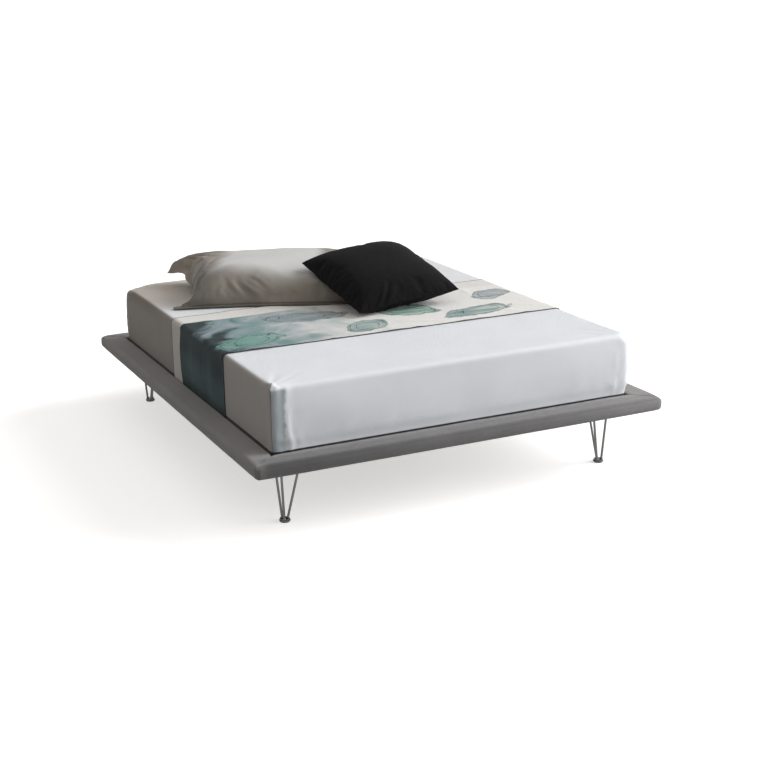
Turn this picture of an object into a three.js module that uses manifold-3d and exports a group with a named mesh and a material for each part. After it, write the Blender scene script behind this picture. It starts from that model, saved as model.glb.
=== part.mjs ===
import * as THREE from 'three';
import { mergeVertices } from 'three/addons/utils/BufferGeometryUtils.js';
import Module from 'manifold-3d';

const wasm = await Module();
wasm.setup();

// Low double bed with an upholstered rim on hairpin legs, a mattress and its bedding.
// Lengths are in millimetres. X points to the right of someone standing at the foot end,
// Y points to the head end, Z points up, and the floor is at Z 0.

// Clearances and working values
const touch = 0.3;
const cutOverrun = 1;
const weldTolerance = 0.001;
const quarterTurn = Math.PI / 2;

// Mattress
const mattressWidth = 1600;
const mattressLength = 1950;
const mattressHeight = 290;
const mattressCornerRadius = 46;
const mattressEdgeRadius = 14;

// Upholstered rim
const rimWidth = 105;
const rimHeight = 60;
const rimUndersideHeight = 258;
const rimEdgeRadius = 22;
const rimInnerRadius = 8;
const rimCornerRadius = 18;
const rimSeamGap = 0.6;
const mattressGap = 10;
const paddingThickness = 8;
const innerLipThickness = 3;
const innerLipDepth = 26;
const undersideReturn = 60;

// Timber under the rim
const boardEdgeRadius = 2.5;
const ledgerThickness = 18;
const ledgerReach = 55;
const ledgerOverlap = 38;
const cornerPlateSize = 230;
const cornerPlateThickness = 18;
const cornerPlateChamfer = 84;
const cornerPlateRadius = 14;
const cornerPlateInset = 34;

// Steel angles that tie the cores in the inner corners
const angleArm = 62;
const angleHeight = 20;
const angleThickness = 3;
const angleBendRadius = 5;
const angleLift = 4;

// Hairpin legs
const legSideInset = 184;
const legEndInset = 195;
const rodDiameter = 10;
const rodAhead = 74;
const rodBehind = 18;
const rodHalfSpread = 33;
const rodShift = 9;
const rodFootCircle = 13;
const legPlateThickness = 4;
const legPlateMargin = 17;
const legScrewHole = 6.5;
const weldCollarWidth = 2;
const weldCollarHeight = 4;
const legWasherDiameter = 40;
const legWasherThickness = 5;
const discDiameter = 45;
const discThickness = 6;
const discEdgeRadius = 1.6;
const glideDiameter = 39;
const glideThickness = 2.4;

// Slats and their seats
const slatCount = 14;
const slatWidth = 72;
const slatThickness = 18;
const slatEdgeRadius = 4;
const slatEndMargin = 54;
const slatEndGap = 10;
const seatBaseThickness = 3;
const seatLugHeight = 12;
const seatLugFoot = 8;
const seatLugTip = 4.5;
const seatStopThickness = 3;
const seatStopHeight = 9;
const seatGrip = 40;
const seatEnd = 6;
const slatSideGap = 0.5;

// Middle beam, its hangers and its leg
const beamWidth = 42;
const beamHeight = 50;
const hangerThickness = 2.5;
const hangerLength = 48;
const hangerFlange = 34;
const hangerBearing = 40;
const middleLegTop = 44;
const middleLegFoot = 32;
const middleLegPlate = 92;
const middleLegPlateThickness = 4;
const middleLegNeck = 14;
const middleGlideThickness = 5;
const middleGlideLip = 2;

// Fitted sheet
const sheetThickness = 2;
const sheetHemLift = 5;
const sheetFoldDepth = 4;
const sheetFoldCount = 4;

// Runner across the bed
const runnerWidth = 670;
const runnerCentre = -122;
const runnerThickness = 3;
const runnerTuck = 18;
const runnerFoldDepth = 7;
const runnerFoldCount = 3;
const runnerRipple = 1.5;

// Pillow
const pillowLength = 962;
const pillowDepth = 590;
const pillowRise = 100;
const pillowDrop = 70;
const pillowEndDrawIn = 72;
const pillowSideDrawIn = 6;
const pillowFlange = 34;
const pillowEdge = 4;
const pillowCreaseDepth = 7;
const pillowFrontLift = 3;
const pillowPlaceX = -220;
const pillowPlaceY = 481;
const pillowTurn = THREE.MathUtils.degToRad(-16.3);

// Square cushion
const cushionSide = 527;
const cushionRise = 88;
const cushionDrop = 47;
const cushionDrawIn = 6;
const cushionEdge = 4;
const cushionCreaseDepth = 6;
const cushionCornerDroop = 40;
const cushionPlaceX = 158;
const cushionPlaceY = 69;
const cushionTurn = THREE.MathUtils.degToRad(6.6);
const cushionLean = THREE.MathUtils.degToRad(15.2);
const cushionTip = THREE.MathUtils.degToRad(-4.3);
const restGap = 0.4;

// Steps of the curved surfaces
const arcSteps = 5;
const smallArcSteps = 2;
const roundSteps = 20;
const holeSteps = 10;
const rodSides = 8;
const softCornerSteps = 4;
const softAcrossSteps = 12;
const softAlongSteps = 6;
const rollSteps = 4;
const sideSteps = 4;
const runnerColumns = 16;
const runnerTopSteps = 6;
const padColumns = 24;
const padRows = 16;
const cushionCells = 18;

// Shares that shape the soft pieces
const pillowCrownShares = [3.9, 0.31];
const cushionCrownShares = [2.8, 0.52];
const bellyShare = 1.7;
const pillowDentShare = 0.6;
const pillowDentReachShares = [0.1, 1.1];
const creaseReachShares = [0.5, 0.97];

// Places worked out from the sizes above
const rimTop = rimUndersideHeight + rimHeight;
const openingHalfX = mattressWidth / 2 + mattressGap;
const openingHalfY = mattressLength / 2 + mattressGap;
const outerHalfX = openingHalfX + rimWidth;
const outerHalfY = openingHalfY + rimWidth;
const coreStart = innerLipThickness + touch;
const coreEnd = rimWidth - paddingThickness - touch;
const coreBottom = rimUndersideHeight + paddingThickness + touch;
const coreTop = rimTop - paddingThickness - touch;
const coreInnerX = openingHalfX + coreStart;
const coreInnerY = openingHalfY + coreStart;
const ledgerTop = coreBottom - touch;
const ledgerBottom = ledgerTop - ledgerThickness;
const ledgerWidth = ledgerReach + ledgerOverlap;
const cornerPlateTop = ledgerBottom - touch;
const cornerPlateBottom = cornerPlateTop - cornerPlateThickness;
const seatBottom = ledgerTop + touch;
const slatBottom = seatBottom + seatBaseThickness + touch;
const slatTop = slatBottom + slatThickness;
const slatHalfLength = coreInnerX - slatEndGap;
const firstSlat = coreInnerY - slatEndMargin - slatWidth / 2;
const slatPitch = 2 * firstSlat / (slatCount - 1);
const mattressBottom = slatTop + touch;
const mattressTop = mattressBottom + mattressHeight;
const sheetHalfX = mattressWidth / 2 + touch + sheetThickness;
const sheetHalfY = mattressLength / 2 + touch + sheetThickness;
const sheetTop = mattressTop + touch + sheetThickness;
const sheetEdgeRadius = mattressEdgeRadius + touch + sheetThickness;
const runnerTop = sheetTop + touch + runnerThickness;
const beamTop = ledgerTop;
const beamHalfLength = coreInnerY - ledgerReach - touch;
const discBottom = glideThickness + touch;
const washerBottom = discBottom + discThickness + touch;
const legPlateTop = cornerPlateBottom - touch;

// Solids

function weld(geometry) {
  const bare = geometry.clone();
  for (const name of Object.keys(bare.attributes)) {
    if (name !== 'position') bare.deleteAttribute(name);
  }
  return mergeVertices(bare, weldTolerance);
}

function signedVolume(geometry) {
  const place = geometry.attributes.position;
  const index = geometry.index.array;
  const a = new THREE.Vector3();
  const b = new THREE.Vector3();
  const c = new THREE.Vector3();
  let sum = 0;
  for (let i = 0; i < index.length; i += 3) {
    a.fromBufferAttribute(place, index[i]);
    b.fromBufferAttribute(place, index[i + 1]);
    c.fromBufferAttribute(place, index[i + 2]);
    sum += a.dot(b.cross(c));
  }
  return sum;
}

// Turns a closed surface so that its faces point outwards
function outward(geometry) {
  const closed = weld(geometry);
  if (signedVolume(closed) >= 0) return closed;
  const index = closed.index.array;
  for (let i = 0; i < index.length; i += 3) {
    const first = index[i];
    index[i] = index[i + 1];
    index[i + 1] = first;
  }
  return closed;
}

function toSolid(geometry) {
  const closed = outward(geometry);
  return new wasm.Manifold(new wasm.Mesh({
    numProp: 3,
    vertProperties: new Float32Array(closed.attributes.position.array),
    triVerts: new Uint32Array(closed.index.array),
  }));
}

function fromSolid(solid) {
  const mesh = solid.getMesh();
  const geometry = new THREE.BufferGeometry();
  geometry.setAttribute('position', new THREE.BufferAttribute(mesh.vertProperties, 3));
  geometry.setIndex(new THREE.BufferAttribute(mesh.triVerts, 1));
  return geometry;
}

function join(geometries) {
  const solids = geometries.map(toSolid);
  return fromSolid(solids.reduce((sum, next) => sum.add(next)));
}

function fromTriangles(points, index) {
  const geometry = new THREE.BufferGeometry();
  geometry.setAttribute('position', new THREE.Float32BufferAttribute(points.flatMap((p) => p.toArray()), 3));
  geometry.setIndex(index);
  return outward(geometry);
}

// Profiles

function arcPoints(centre, radius, from, to, steps) {
  const points = [];
  for (let i = 0; i <= steps; i += 1) {
    const angle = from + (to - from) * i / steps;
    points.push(new THREE.Vector2(centre.x + radius * Math.cos(angle), centre.y + radius * Math.sin(angle)));
  }
  return points;
}

// Rounds the corners of an outline, given as [x, y, radius]
function roundedOutline(corners, steps) {
  const points = [];
  corners.forEach(([x, y, radius], i) => {
    const here = new THREE.Vector2(x, y);
    if (!radius) {
      points.push(here);
      return;
    }
    const [beforeX, beforeY] = corners[(i + corners.length - 1) % corners.length];
    const [afterX, afterY] = corners[(i + 1) % corners.length];
    const back = new THREE.Vector2(beforeX, beforeY).sub(here).normalize();
    const ahead = new THREE.Vector2(afterX, afterY).sub(here).normalize();
    const half = Math.acos(THREE.MathUtils.clamp(back.dot(ahead), -1, 1)) / 2;
    const centre = back.clone().add(ahead).normalize().multiplyScalar(radius / Math.sin(half)).add(here);
    const start = back.clone().multiplyScalar(radius / Math.tan(half)).add(here).sub(centre);
    const end = ahead.clone().multiplyScalar(radius / Math.tan(half)).add(here).sub(centre);
    const turn = Math.atan2(start.cross(end), start.dot(end));
    points.push(...arcPoints(centre, radius, start.angle(), start.angle() + turn, steps));
  });
  return points;
}

function rectangleCorners(left, right, low, high, radius) {
  return [[left, low, radius], [right, low, radius], [right, high, radius], [left, high, radius]];
}

function extrude(points, depth, holes = []) {
  const shape = new THREE.Shape(points);
  shape.holes = holes.map((hole) => new THREE.Path(hole));
  return new THREE.ExtrudeGeometry(shape, { depth, bevelEnabled: false, steps: 1 });
}

// Section drawn as [X, Z], run along Y about its middle
function alongY(points, length) {
  const turn = new THREE.Matrix4().makeBasis(
    new THREE.Vector3(1, 0, 0),
    new THREE.Vector3(0, 0, 1),
    new THREE.Vector3(0, -1, 0),
  );
  return extrude(points, length).applyMatrix4(turn).translate(0, length / 2, 0);
}

// Section drawn as [Y, Z], run along X about its middle
function alongX(points, length) {
  const turn = new THREE.Matrix4().makeBasis(
    new THREE.Vector3(0, 1, 0),
    new THREE.Vector3(0, 0, 1),
    new THREE.Vector3(1, 0, 0),
  );
  return extrude(points, length).applyMatrix4(turn).translate(-length / 2, 0, 0);
}

function circle(x, y, diameter, steps) {
  return arcPoints(new THREE.Vector2(x, y), diameter / 2, 0, 4 * quarterTurn, steps).slice(0, -1);
}

function turned(profile, steps) {
  return new THREE.LatheGeometry(profile.map(([r, z]) => new THREE.Vector2(r, z)), steps).rotateX(quarterTurn);
}

// Materials

function finish(color, roughness, metalness) {
  return () => new THREE.MeshStandardMaterial({ color, roughness, metalness });
}

const rimFabric = finish(0x7d7a7b, 0.9, 0);
const timber = finish(0xb9946a, 0.65, 0);
const plywood = finish(0xa98a62, 0.7, 0);
const slatTimber = finish(0xc9ab7d, 0.6, 0);
const zincSteel = finish(0xa2a5a8, 0.4, 0.9);
const brightSteel = finish(0x8f9296, 0.22, 1);
const darkSteel = finish(0x4a4a4c, 0.35, 0.9);
const blackPlastic = finish(0x1e1e20, 0.6, 0);
const mattressCloth = finish(0xe6e2da, 0.9, 0);
const sheetCloth = finish(0xdfe3ea, 0.85, 0);
const runnerCloth = finish(0x9fb8b8, 0.85, 0);
const pillowCloth = finish(0xa9a49c, 0.85, 0);
const cushionCloth = finish(0x1c1c1d, 0.8, 0);

const bed = new THREE.Group();
bed.name = 'upholstered_bed';

function place(name, geometry, material, x = 0, y = 0, z = 0, turn = 0) {
  const mesh = new THREE.Mesh(outward(geometry), material());
  mesh.name = name;
  mesh.position.set(x, y, z);
  mesh.rotation.z = turn;
  bed.add(mesh);
}

// Rim: each rail's section is drawn as [out, Z], out from the edge of the opening, and a point
// further out reaches further along, so both ends are mitred.
function mitredRail(section, halfAcross, halfAlong, endGap) {
  const points = [];
  for (const side of [-1, 1]) {
    for (const p of section) {
      points.push(new THREE.Vector3(halfAcross + p.x, side * (halfAlong + p.x - endGap), p.y));
    }
  }
  const count = section.length;
  const index = [];
  for (let i = 0; i < count; i += 1) {
    const next = (i + 1) % count;
    index.push(i, next, count + next, i, count + next, count + i);
  }
  for (const [a, b, c] of THREE.ShapeUtils.triangulateShape(section, [])) {
    index.push(c, b, a, count + a, count + b, count + c);
  }
  return fromTriangles(points, index);
}

function coverSection() {
  const hem = rimWidth - undersideReturn;
  const innerRadius = rimEdgeRadius - paddingThickness;
  const low = rimUndersideHeight;
  return roundedOutline([
    [0, rimTop - innerLipDepth, 0],
    [innerLipThickness, rimTop - innerLipDepth, 0],
    [innerLipThickness, rimTop - paddingThickness, 0],
    [rimWidth - paddingThickness, rimTop - paddingThickness, innerRadius],
    [rimWidth - paddingThickness, low + paddingThickness, innerRadius],
    [hem, low + paddingThickness, 0],
    [hem, low, 0],
    [rimWidth, low, rimEdgeRadius],
    [rimWidth, rimTop, rimEdgeRadius],
    [0, rimTop, rimInnerRadius],
  ], arcSteps);
}

function coreSection() {
  const radius = rimEdgeRadius - paddingThickness - touch;
  return roundedOutline([
    [coreStart, coreBottom, 0],
    [coreEnd, coreBottom, radius],
    [coreEnd, coreTop, radius],
    [coreStart, coreTop, 0],
  ], arcSteps);
}

// The plan of the whole rim with rounded corners, which every cover is trimmed to
function rimPlan() {
  const corners = rectangleCorners(-outerHalfX, outerHalfX, -outerHalfY, outerHalfY, rimCornerRadius);
  const depth = rimHeight + 2 * cutOverrun;
  return extrude(roundedOutline(corners, arcSteps), depth).translate(0, 0, rimUndersideHeight - cutOverrun);
}

function buildRim() {
  const plan = toSolid(rimPlan());
  const rails = [
    ['right', openingHalfX, openingHalfY, 0],
    ['head', openingHalfY, openingHalfX, quarterTurn],
    ['left', openingHalfX, openingHalfY, 2 * quarterTurn],
    ['foot', openingHalfY, openingHalfX, 3 * quarterTurn],
  ];
  for (const [side, across, along, turn] of rails) {
    const cover = mitredRail(coverSection(), across, along, rimSeamGap).rotateZ(turn);
    place(`rim_cover_${side}`, fromSolid(toSolid(cover).intersect(plan)), rimFabric);
    const core = mitredRail(coreSection(), across, along, touch).rotateZ(turn);
    place(`rim_core_${side}`, core, timber);
  }
}

// Timber under the rim

function boardSection(left, right, low, high) {
  return roundedOutline(rectangleCorners(left, right, low, high, boardEdgeRadius), smallArcSteps);
}

function buildLedgers() {
  const start = coreInnerX - ledgerReach;
  const sideLength = 2 * (coreInnerY + ledgerOverlap);
  const side = alongY(boardSection(start, start + ledgerWidth, ledgerBottom, ledgerTop), sideLength);
  place('ledger_right', side, timber);
  place('ledger_left', side.clone().rotateZ(2 * quarterTurn), timber);
  const endStart = coreInnerY - ledgerReach;
  const endLength = 2 * (start - touch);
  const end = alongX(boardSection(endStart, endStart + ledgerWidth, ledgerBottom, ledgerTop), endLength);
  place('ledger_head', end, timber);
  place('ledger_foot', end.clone().rotateZ(2 * quarterTurn), timber);
}

// Corners are visited anticlockwise from the front left one, a quarter turn apart
const cornerNames = ['front_left', 'front_right', 'rear_right', 'rear_left'];
const cornerSigns = [[-1, -1], [1, -1], [1, 1], [-1, 1]];

function buildCornerPlates() {
  const size = cornerPlateSize;
  const chamfer = cornerPlateChamfer;
  const outline = roundedOutline([
    [0, 0, cornerPlateRadius],
    [size, 0, cornerPlateRadius],
    [size, size - chamfer, cornerPlateRadius],
    [size - chamfer, size, cornerPlateRadius],
    [0, size, cornerPlateRadius],
  ], smallArcSteps);
  const plate = extrude(outline, cornerPlateThickness);
  cornerNames.forEach((name, i) => {
    const [sx, sy] = cornerSigns[i];
    const x = sx * (coreInnerX + ledgerOverlap - cornerPlateInset);
    const y = sy * (coreInnerY + ledgerOverlap - cornerPlateInset);
    place(`corner_plate_${name}`, plate, plywood, x, y, cornerPlateBottom, i * quarterTurn);
  });
}

function buildCornerAngles() {
  const outline = roundedOutline([
    [0, 0, angleBendRadius],
    [angleArm, 0, 0],
    [angleArm, angleThickness, 0],
    [angleThickness, angleThickness, angleBendRadius - angleThickness],
    [angleThickness, angleArm, 0],
    [0, angleArm, 0],
  ], smallArcSteps);
  const angle = extrude(outline, angleHeight);
  cornerNames.forEach((name, i) => {
    const [sx, sy] = cornerSigns[i];
    const x = sx * (coreInnerX - touch);
    const y = sy * (coreInnerY - touch);
    place(`corner_angle_${name}`, angle, zincSteel, x, y, coreBottom + angleLift, i * quarterTurn);
  });
}

// Hairpin legs: three rods lean out from a plate with three rounded corners and close in on a
// washer. One rod leans far ahead along its rail, the other two stand side by side behind it.
// Every leg is the same, a quarter turn on from corner to corner.

function rodTops() {
  return [
    new THREE.Vector2(rodAhead, rodShift),
    new THREE.Vector2(-rodBehind, rodShift + rodHalfSpread),
    new THREE.Vector2(-rodBehind, rodShift - rodHalfSpread),
  ];
}

function rodFeet() {
  const count = rodTops().length;
  return rodTops().map((top, i) => {
    const angle = 4 * quarterTurn * i / count;
    return new THREE.Vector2(rodFootCircle * Math.cos(angle), rodFootCircle * Math.sin(angle));
  });
}

function rodBetween(from, to, fromRadius, toRadius) {
  const length = from.distanceTo(to);
  const up = new THREE.Vector3(0, 1, 0);
  const turn = new THREE.Quaternion().setFromUnitVectors(up, to.clone().sub(from).normalize());
  const middle = from.clone().add(to).multiplyScalar(0.5);
  return new THREE.CylinderGeometry(toRadius, fromRadius, length, rodSides)
    .applyQuaternion(turn)
    .translate(middle.x, middle.y, middle.z);
}

// The plate keeps the same margin round all three rods
function legPlateOutline() {
  const tops = rodTops();
  const points = [];
  tops.forEach((corner, i) => {
    const before = tops[(i + tops.length - 1) % tops.length];
    const after = tops[(i + 1) % tops.length];
    const start = corner.clone().sub(before).angle() - quarterTurn;
    const end = after.clone().sub(corner).angle() - quarterTurn;
    const turn = THREE.MathUtils.euclideanModulo(end - start, 4 * quarterTurn);
    points.push(...arcPoints(corner, legPlateMargin, start, start + turn, arcSteps));
  });
  return points;
}

// A screw hole lies midway between each two rods
function screwHoles() {
  const tops = rodTops();
  return tops.map((top, i) => {
    const middle = top.clone().add(tops[(i + 1) % tops.length]).multiplyScalar(0.5);
    return circle(middle.x, middle.y, legScrewHole, holeSteps);
  });
}

function hairpinLeg() {
  const plateBottom = legPlateTop - legPlateThickness;
  const washerTop = washerBottom + legWasherThickness;
  const plate = extrude(legPlateOutline(), legPlateThickness, screwHoles()).translate(0, 0, plateBottom);
  const washer = extrude(circle(0, 0, legWasherDiameter, roundSteps), legWasherThickness)
    .translate(0, 0, washerBottom);
  const tops = rodTops();
  const feet = rodFeet();
  const pieces = [plate, washer];
  tops.forEach((top, i) => {
    const high = new THREE.Vector3(top.x, top.y, plateBottom + legPlateThickness / 2);
    const low = new THREE.Vector3(feet[i].x, feet[i].y, washerTop - legWasherThickness / 2);
    const along = high.clone().sub(low).normalize();
    const radius = rodDiameter / 2;
    pieces.push(rodBetween(low, high, radius, radius));
    const highSeam = high.clone().addScaledVector(along, -legPlateThickness / 2 - weldCollarHeight);
    pieces.push(rodBetween(highSeam, high, radius, radius + weldCollarWidth));
    const lowSeam = low.clone().addScaledVector(along, legWasherThickness / 2 + weldCollarHeight);
    pieces.push(rodBetween(low, lowSeam, radius + weldCollarWidth, radius));
  });
  return join(pieces);
}

function footDisc() {
  const radius = discDiameter / 2;
  const edge = discEdgeRadius;
  return turned([
    [0, 0],
    [radius - edge, 0],
    [radius, edge],
    [radius, discThickness - edge],
    [radius - edge, discThickness],
    [0, discThickness],
  ], roundSteps);
}

function buildLegs() {
  const leg = hairpinLeg();
  const disc = footDisc();
  const glide = extrude(circle(0, 0, glideDiameter, roundSteps), glideThickness);
  cornerNames.forEach((name, i) => {
    const [sx, sy] = cornerSigns[i];
    const x = sx * (outerHalfX - legSideInset);
    const y = sy * (outerHalfY - legEndInset);
    place(`leg_${name}`, leg, brightSteel, x, y, 0, i * quarterTurn);
    place(`foot_disc_${name}`, disc, darkSteel, x, y, discBottom);
    place(`foot_glide_${name}`, glide, blackPlastic, x, y, 0);
  });
}

// Slats in moulded seat strips: a strip has a pocket for every slat, between two tapered lugs,
// and on the side ledgers an upright stop behind the slat ends.

function slatPlace(i) {
  return -firstSlat + i * slatPitch;
}

function seatStripProfile() {
  const base = seatBottom + seatBaseThickness;
  const tip = base + seatLugHeight;
  const pocket = slatWidth / 2 + slatSideGap;
  const taper = seatLugFoot - seatLugTip;
  const end = firstSlat + pocket + seatLugFoot + seatEnd;
  const points = [new THREE.Vector2(end, seatBottom), new THREE.Vector2(end, base)];
  for (let i = slatCount - 1; i >= 0; i -= 1) {
    for (const side of [1, -1]) {
      const middle = slatPlace(i);
      const lug = [
        [pocket + seatLugFoot, base],
        [pocket + seatLugFoot - taper / 2, tip],
        [pocket + taper / 2, tip],
        [pocket, base],
      ];
      if (side < 0) lug.reverse();
      lug.forEach(([away, up]) => points.push(new THREE.Vector2(middle + side * away, up)));
    }
  }
  points.push(new THREE.Vector2(-end, base), new THREE.Vector2(-end, seatBottom));
  return points;
}

function sideSeatStrip() {
  const strip = alongX(seatStripProfile(), seatGrip + seatStopThickness);
  const stopX = (seatGrip + seatStopThickness) / 2;
  const stopTop = slatBottom + seatStopHeight;
  const corners = rectangleCorners(stopX - seatStopThickness, stopX, seatBottom, stopTop, 0);
  const stopLength = 2 * (firstSlat + slatWidth / 2 + slatSideGap + seatLugFoot);
  const stop = alongY(roundedOutline(corners, smallArcSteps), stopLength);
  return join([strip, stop]);
}

function buildSlats() {
  const section = roundedOutline(
    rectangleCorners(-slatWidth / 2, slatWidth / 2, slatBottom, slatTop, slatEdgeRadius),
    smallArcSteps,
  );
  const slat = alongX(section, 2 * slatHalfLength);
  for (let i = 0; i < slatCount; i += 1) {
    const number = String(i + 1).padStart(2, '0');
    place(`slat_${number}`, slat, slatTimber, 0, slatPlace(i), 0);
  }
  const strip = sideSeatStrip();
  const stripX = slatHalfLength + touch + seatStopThickness - (seatGrip + seatStopThickness) / 2;
  place('slat_seats_right', strip, blackPlastic, stripX, 0, 0);
  place('slat_seats_left', strip.clone().rotateZ(2 * quarterTurn), blackPlastic, -stripX, 0, 0);
  place('slat_seats_middle', alongX(seatStripProfile(), seatGrip), blackPlastic);
}

// Middle beam, hung under the end ledgers and propped by one leg

function buildBeam() {
  const section = boardSection(-beamWidth / 2, beamWidth / 2, beamTop - beamHeight, beamTop);
  place('middle_beam', alongY(section, 2 * beamHalfLength), timber);
}

function hanger() {
  const inside = beamWidth / 2 + touch;
  const outside = inside + hangerThickness;
  const seat = beamTop - beamHeight - touch;
  const top = ledgerBottom - touch;
  const stirrup = [
    [-outside, seat - hangerThickness, hangerThickness],
    [outside, seat - hangerThickness, hangerThickness],
    [outside, top, 0],
    [inside, top, 0],
    [inside, seat, 0],
    [-inside, seat, 0],
    [-inside, top, 0],
    [-outside, top, 0],
  ];
  const middle = beamHalfLength - hangerLength / 2;
  const bend = alongY(roundedOutline(stirrup, smallArcSteps), hangerLength).translate(0, middle, 0);
  const wide = outside + hangerFlange;
  const inner = beamHalfLength - hangerLength;
  const seatEdge = beamHalfLength + touch;
  const outer = seatEdge + hangerBearing;
  const flange = extrude(roundedOutline([
    [-wide, inner, 0],
    [-inside, inner, 0],
    [-inside, seatEdge, 0],
    [inside, seatEdge, 0],
    [inside, inner, 0],
    [wide, inner, 0],
    [wide, outer, hangerThickness],
    [-wide, outer, hangerThickness],
  ], smallArcSteps), hangerThickness).translate(0, 0, top - hangerThickness);
  return join([bend, flange]);
}

function buildHangers() {
  const head = hanger();
  place('beam_hanger_head', head, zincSteel);
  place('beam_hanger_foot', head.clone().rotateZ(2 * quarterTurn), zincSteel);
}

function buildMiddleLeg() {
  const top = beamTop - beamHeight - touch;
  const foot = middleGlideThickness;
  const plateLow = top - middleLegPlateThickness;
  const wide = middleLegPlate / 2;
  const leg = turned([
    [0, foot + touch],
    [middleLegFoot / 2, foot + touch],
    [middleLegTop / 2, plateLow - middleLegNeck],
    [middleLegTop / 2, plateLow],
    [wide, plateLow],
    [wide, top],
    [0, top],
  ], roundSteps);
  place('middle_leg', leg, darkSteel);
  const glideRadius = middleLegFoot / 2 + touch + middleGlideLip;
  const glide = turned([
    [0, 0],
    [glideRadius - middleGlideLip / 2, 0],
    [glideRadius, middleGlideLip / 2],
    [glideRadius, middleGlideThickness],
    [0, middleGlideThickness],
  ], roundSteps);
  place('middle_leg_glide', glide, blackPlastic);
}

// Soft boxes: rings of points, all of one count, joined from the first ring to the last and
// closed by a fan at each end

function softRing(inset, height, halfX, halfY, cornerRadius, push) {
  const radius = cornerRadius - inset;
  const straightX = halfX - cornerRadius;
  const straightY = halfY - cornerRadius;
  const sides = [
    [1, 1, softAcrossSteps, [-1, 0], straightX],
    [-1, 1, softAlongSteps, [0, -1], straightY],
    [-1, -1, softAcrossSteps, [1, 0], straightX],
    [1, -1, softAlongSteps, [0, 1], straightY],
  ];
  const ring = [];
  sides.forEach(([sx, sy, steps, [dx, dy], straight], k) => {
    for (let i = 0; i <= softCornerSteps; i += 1) {
      const angle = (k + i / softCornerSteps) * quarterTurn;
      ring.push([
        sx * straightX + radius * Math.cos(angle),
        sy * straightY + radius * Math.sin(angle),
      ]);
    }
    for (let i = 1; i < steps; i += 1) {
      const run = 2 * straight * i / steps;
      const angle = (k + 1) * quarterTurn;
      ring.push([
        sx * straightX + radius * Math.cos(angle) + dx * run,
        sy * straightY + radius * Math.sin(angle) + dy * run,
      ]);
    }
  });
  return ring.map(([x, y]) => {
    const isEnd = Math.abs(x) <= straightX;
    const out = isEnd && push ? push(x, height) : 0;
    return new THREE.Vector3(x, y + Math.sign(y) * out, height);
  });
}

function closedRings(rings) {
  const points = rings.flat();
  const count = rings[0].length;
  const index = [];
  for (let r = 0; r + 1 < rings.length; r += 1) {
    for (let i = 0; i < count; i += 1) {
      const next = (i + 1) % count;
      const a = r * count + i;
      const b = r * count + next;
      index.push(a, b, b + count, a, b + count, a + count);
    }
  }
  const fans = [[0, -1], [(rings.length - 1) * count, 1]];
  for (const [start, side] of fans) {
    const middle = points.length;
    points.push(new THREE.Vector3(0, 0, points[start].z));
    for (let i = 0; i < count; i += 1) {
      const a = start + i;
      const b = start + (i + 1) % count;
      if (side > 0) index.push(a, b, middle);
      else index.push(b, a, middle);
    }
  }
  return fromTriangles(points, index);
}

// The rolled upper edge of a soft box, from its side to its top
function rolledEdge(top, radius) {
  const levels = [];
  for (let i = 0; i <= rollSteps; i += 1) {
    const angle = quarterTurn * i / rollSteps;
    levels.push([radius * (1 - Math.cos(angle)), top - radius * (1 - Math.sin(angle))]);
  }
  return levels;
}

function buildMattress() {
  const halfX = mattressWidth / 2;
  const halfY = mattressLength / 2;
  const roll = rolledEdge(mattressHeight, mattressEdgeRadius);
  const levels = [...roll.map(([inset, z]) => [inset, mattressHeight - z]).reverse(), ...roll];
  const rings = levels.map(([inset, z]) => softRing(
    inset,
    mattressBottom + z,
    halfX,
    halfY,
    mattressCornerRadius,
  ));
  place('mattress', closedRings(rings), mattressCloth);
}

function sheetFold(x, height) {
  const low = mattressBottom + sheetHemLift;
  const high = sheetTop - sheetEdgeRadius;
  if (height <= low || height >= high) return 0;
  const rise = Math.sin(2 * quarterTurn * (height - low) / (high - low));
  const wave = 1 - Math.cos(4 * quarterTurn * sheetFoldCount * (x / mattressWidth + 1 / 2));
  return sheetFoldDepth * rise * wave / 2;
}

function sheetLevels(grow) {
  const hem = mattressBottom + sheetHemLift;
  const roll = rolledEdge(mattressTop + grow, mattressEdgeRadius + grow);
  const levels = [];
  for (let i = 0; i < sideSteps; i += 1) {
    levels.push([0, hem + (roll[0][1] - hem) * i / sideSteps]);
  }
  return [...levels, ...roll];
}

function buildSheet() {
  const inner = touch;
  const outer = touch + sheetThickness;
  const ringsAt = (grow, push) => sheetLevels(grow).map(([inset, z]) => softRing(
    inset,
    z,
    mattressWidth / 2 + grow,
    mattressLength / 2 + grow,
    mattressCornerRadius + grow,
    push,
  ));
  const rings = [...ringsAt(inner).reverse(), ...ringsAt(outer, sheetFold)];
  place('fitted_sheet', closedRings(rings), sheetCloth);
}

// Runner: a strip of cloth over the top and down both sides, in folds where it hangs

function runnerPath(grow) {
  const roll = sheetEdgeRadius;
  const hem = rimTop - runnerTuck;
  const edge = sheetTop - roll;
  const half = [];
  for (let i = 0; i < sideSteps; i += 1) {
    half.push([sheetHalfX + grow, hem + (edge - hem) * i / sideSteps, 1]);
  }
  for (let i = 0; i <= rollSteps; i += 1) {
    const angle = quarterTurn * i / rollSteps;
    const x = sheetHalfX - roll + (roll + grow) * Math.cos(angle);
    half.push([x, edge + (roll + grow) * Math.sin(angle), 0]);
  }
  const flat = sheetHalfX - roll;
  const left = half.map(([x, z, side]) => [-x, z, -side]);
  const over = [];
  for (let i = 1; i < runnerTopSteps; i += 1) {
    over.push([-flat + 2 * flat * i / runnerTopSteps, sheetTop + grow, 0]);
  }
  return [...left, ...over, ...half.reverse()];
}

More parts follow.
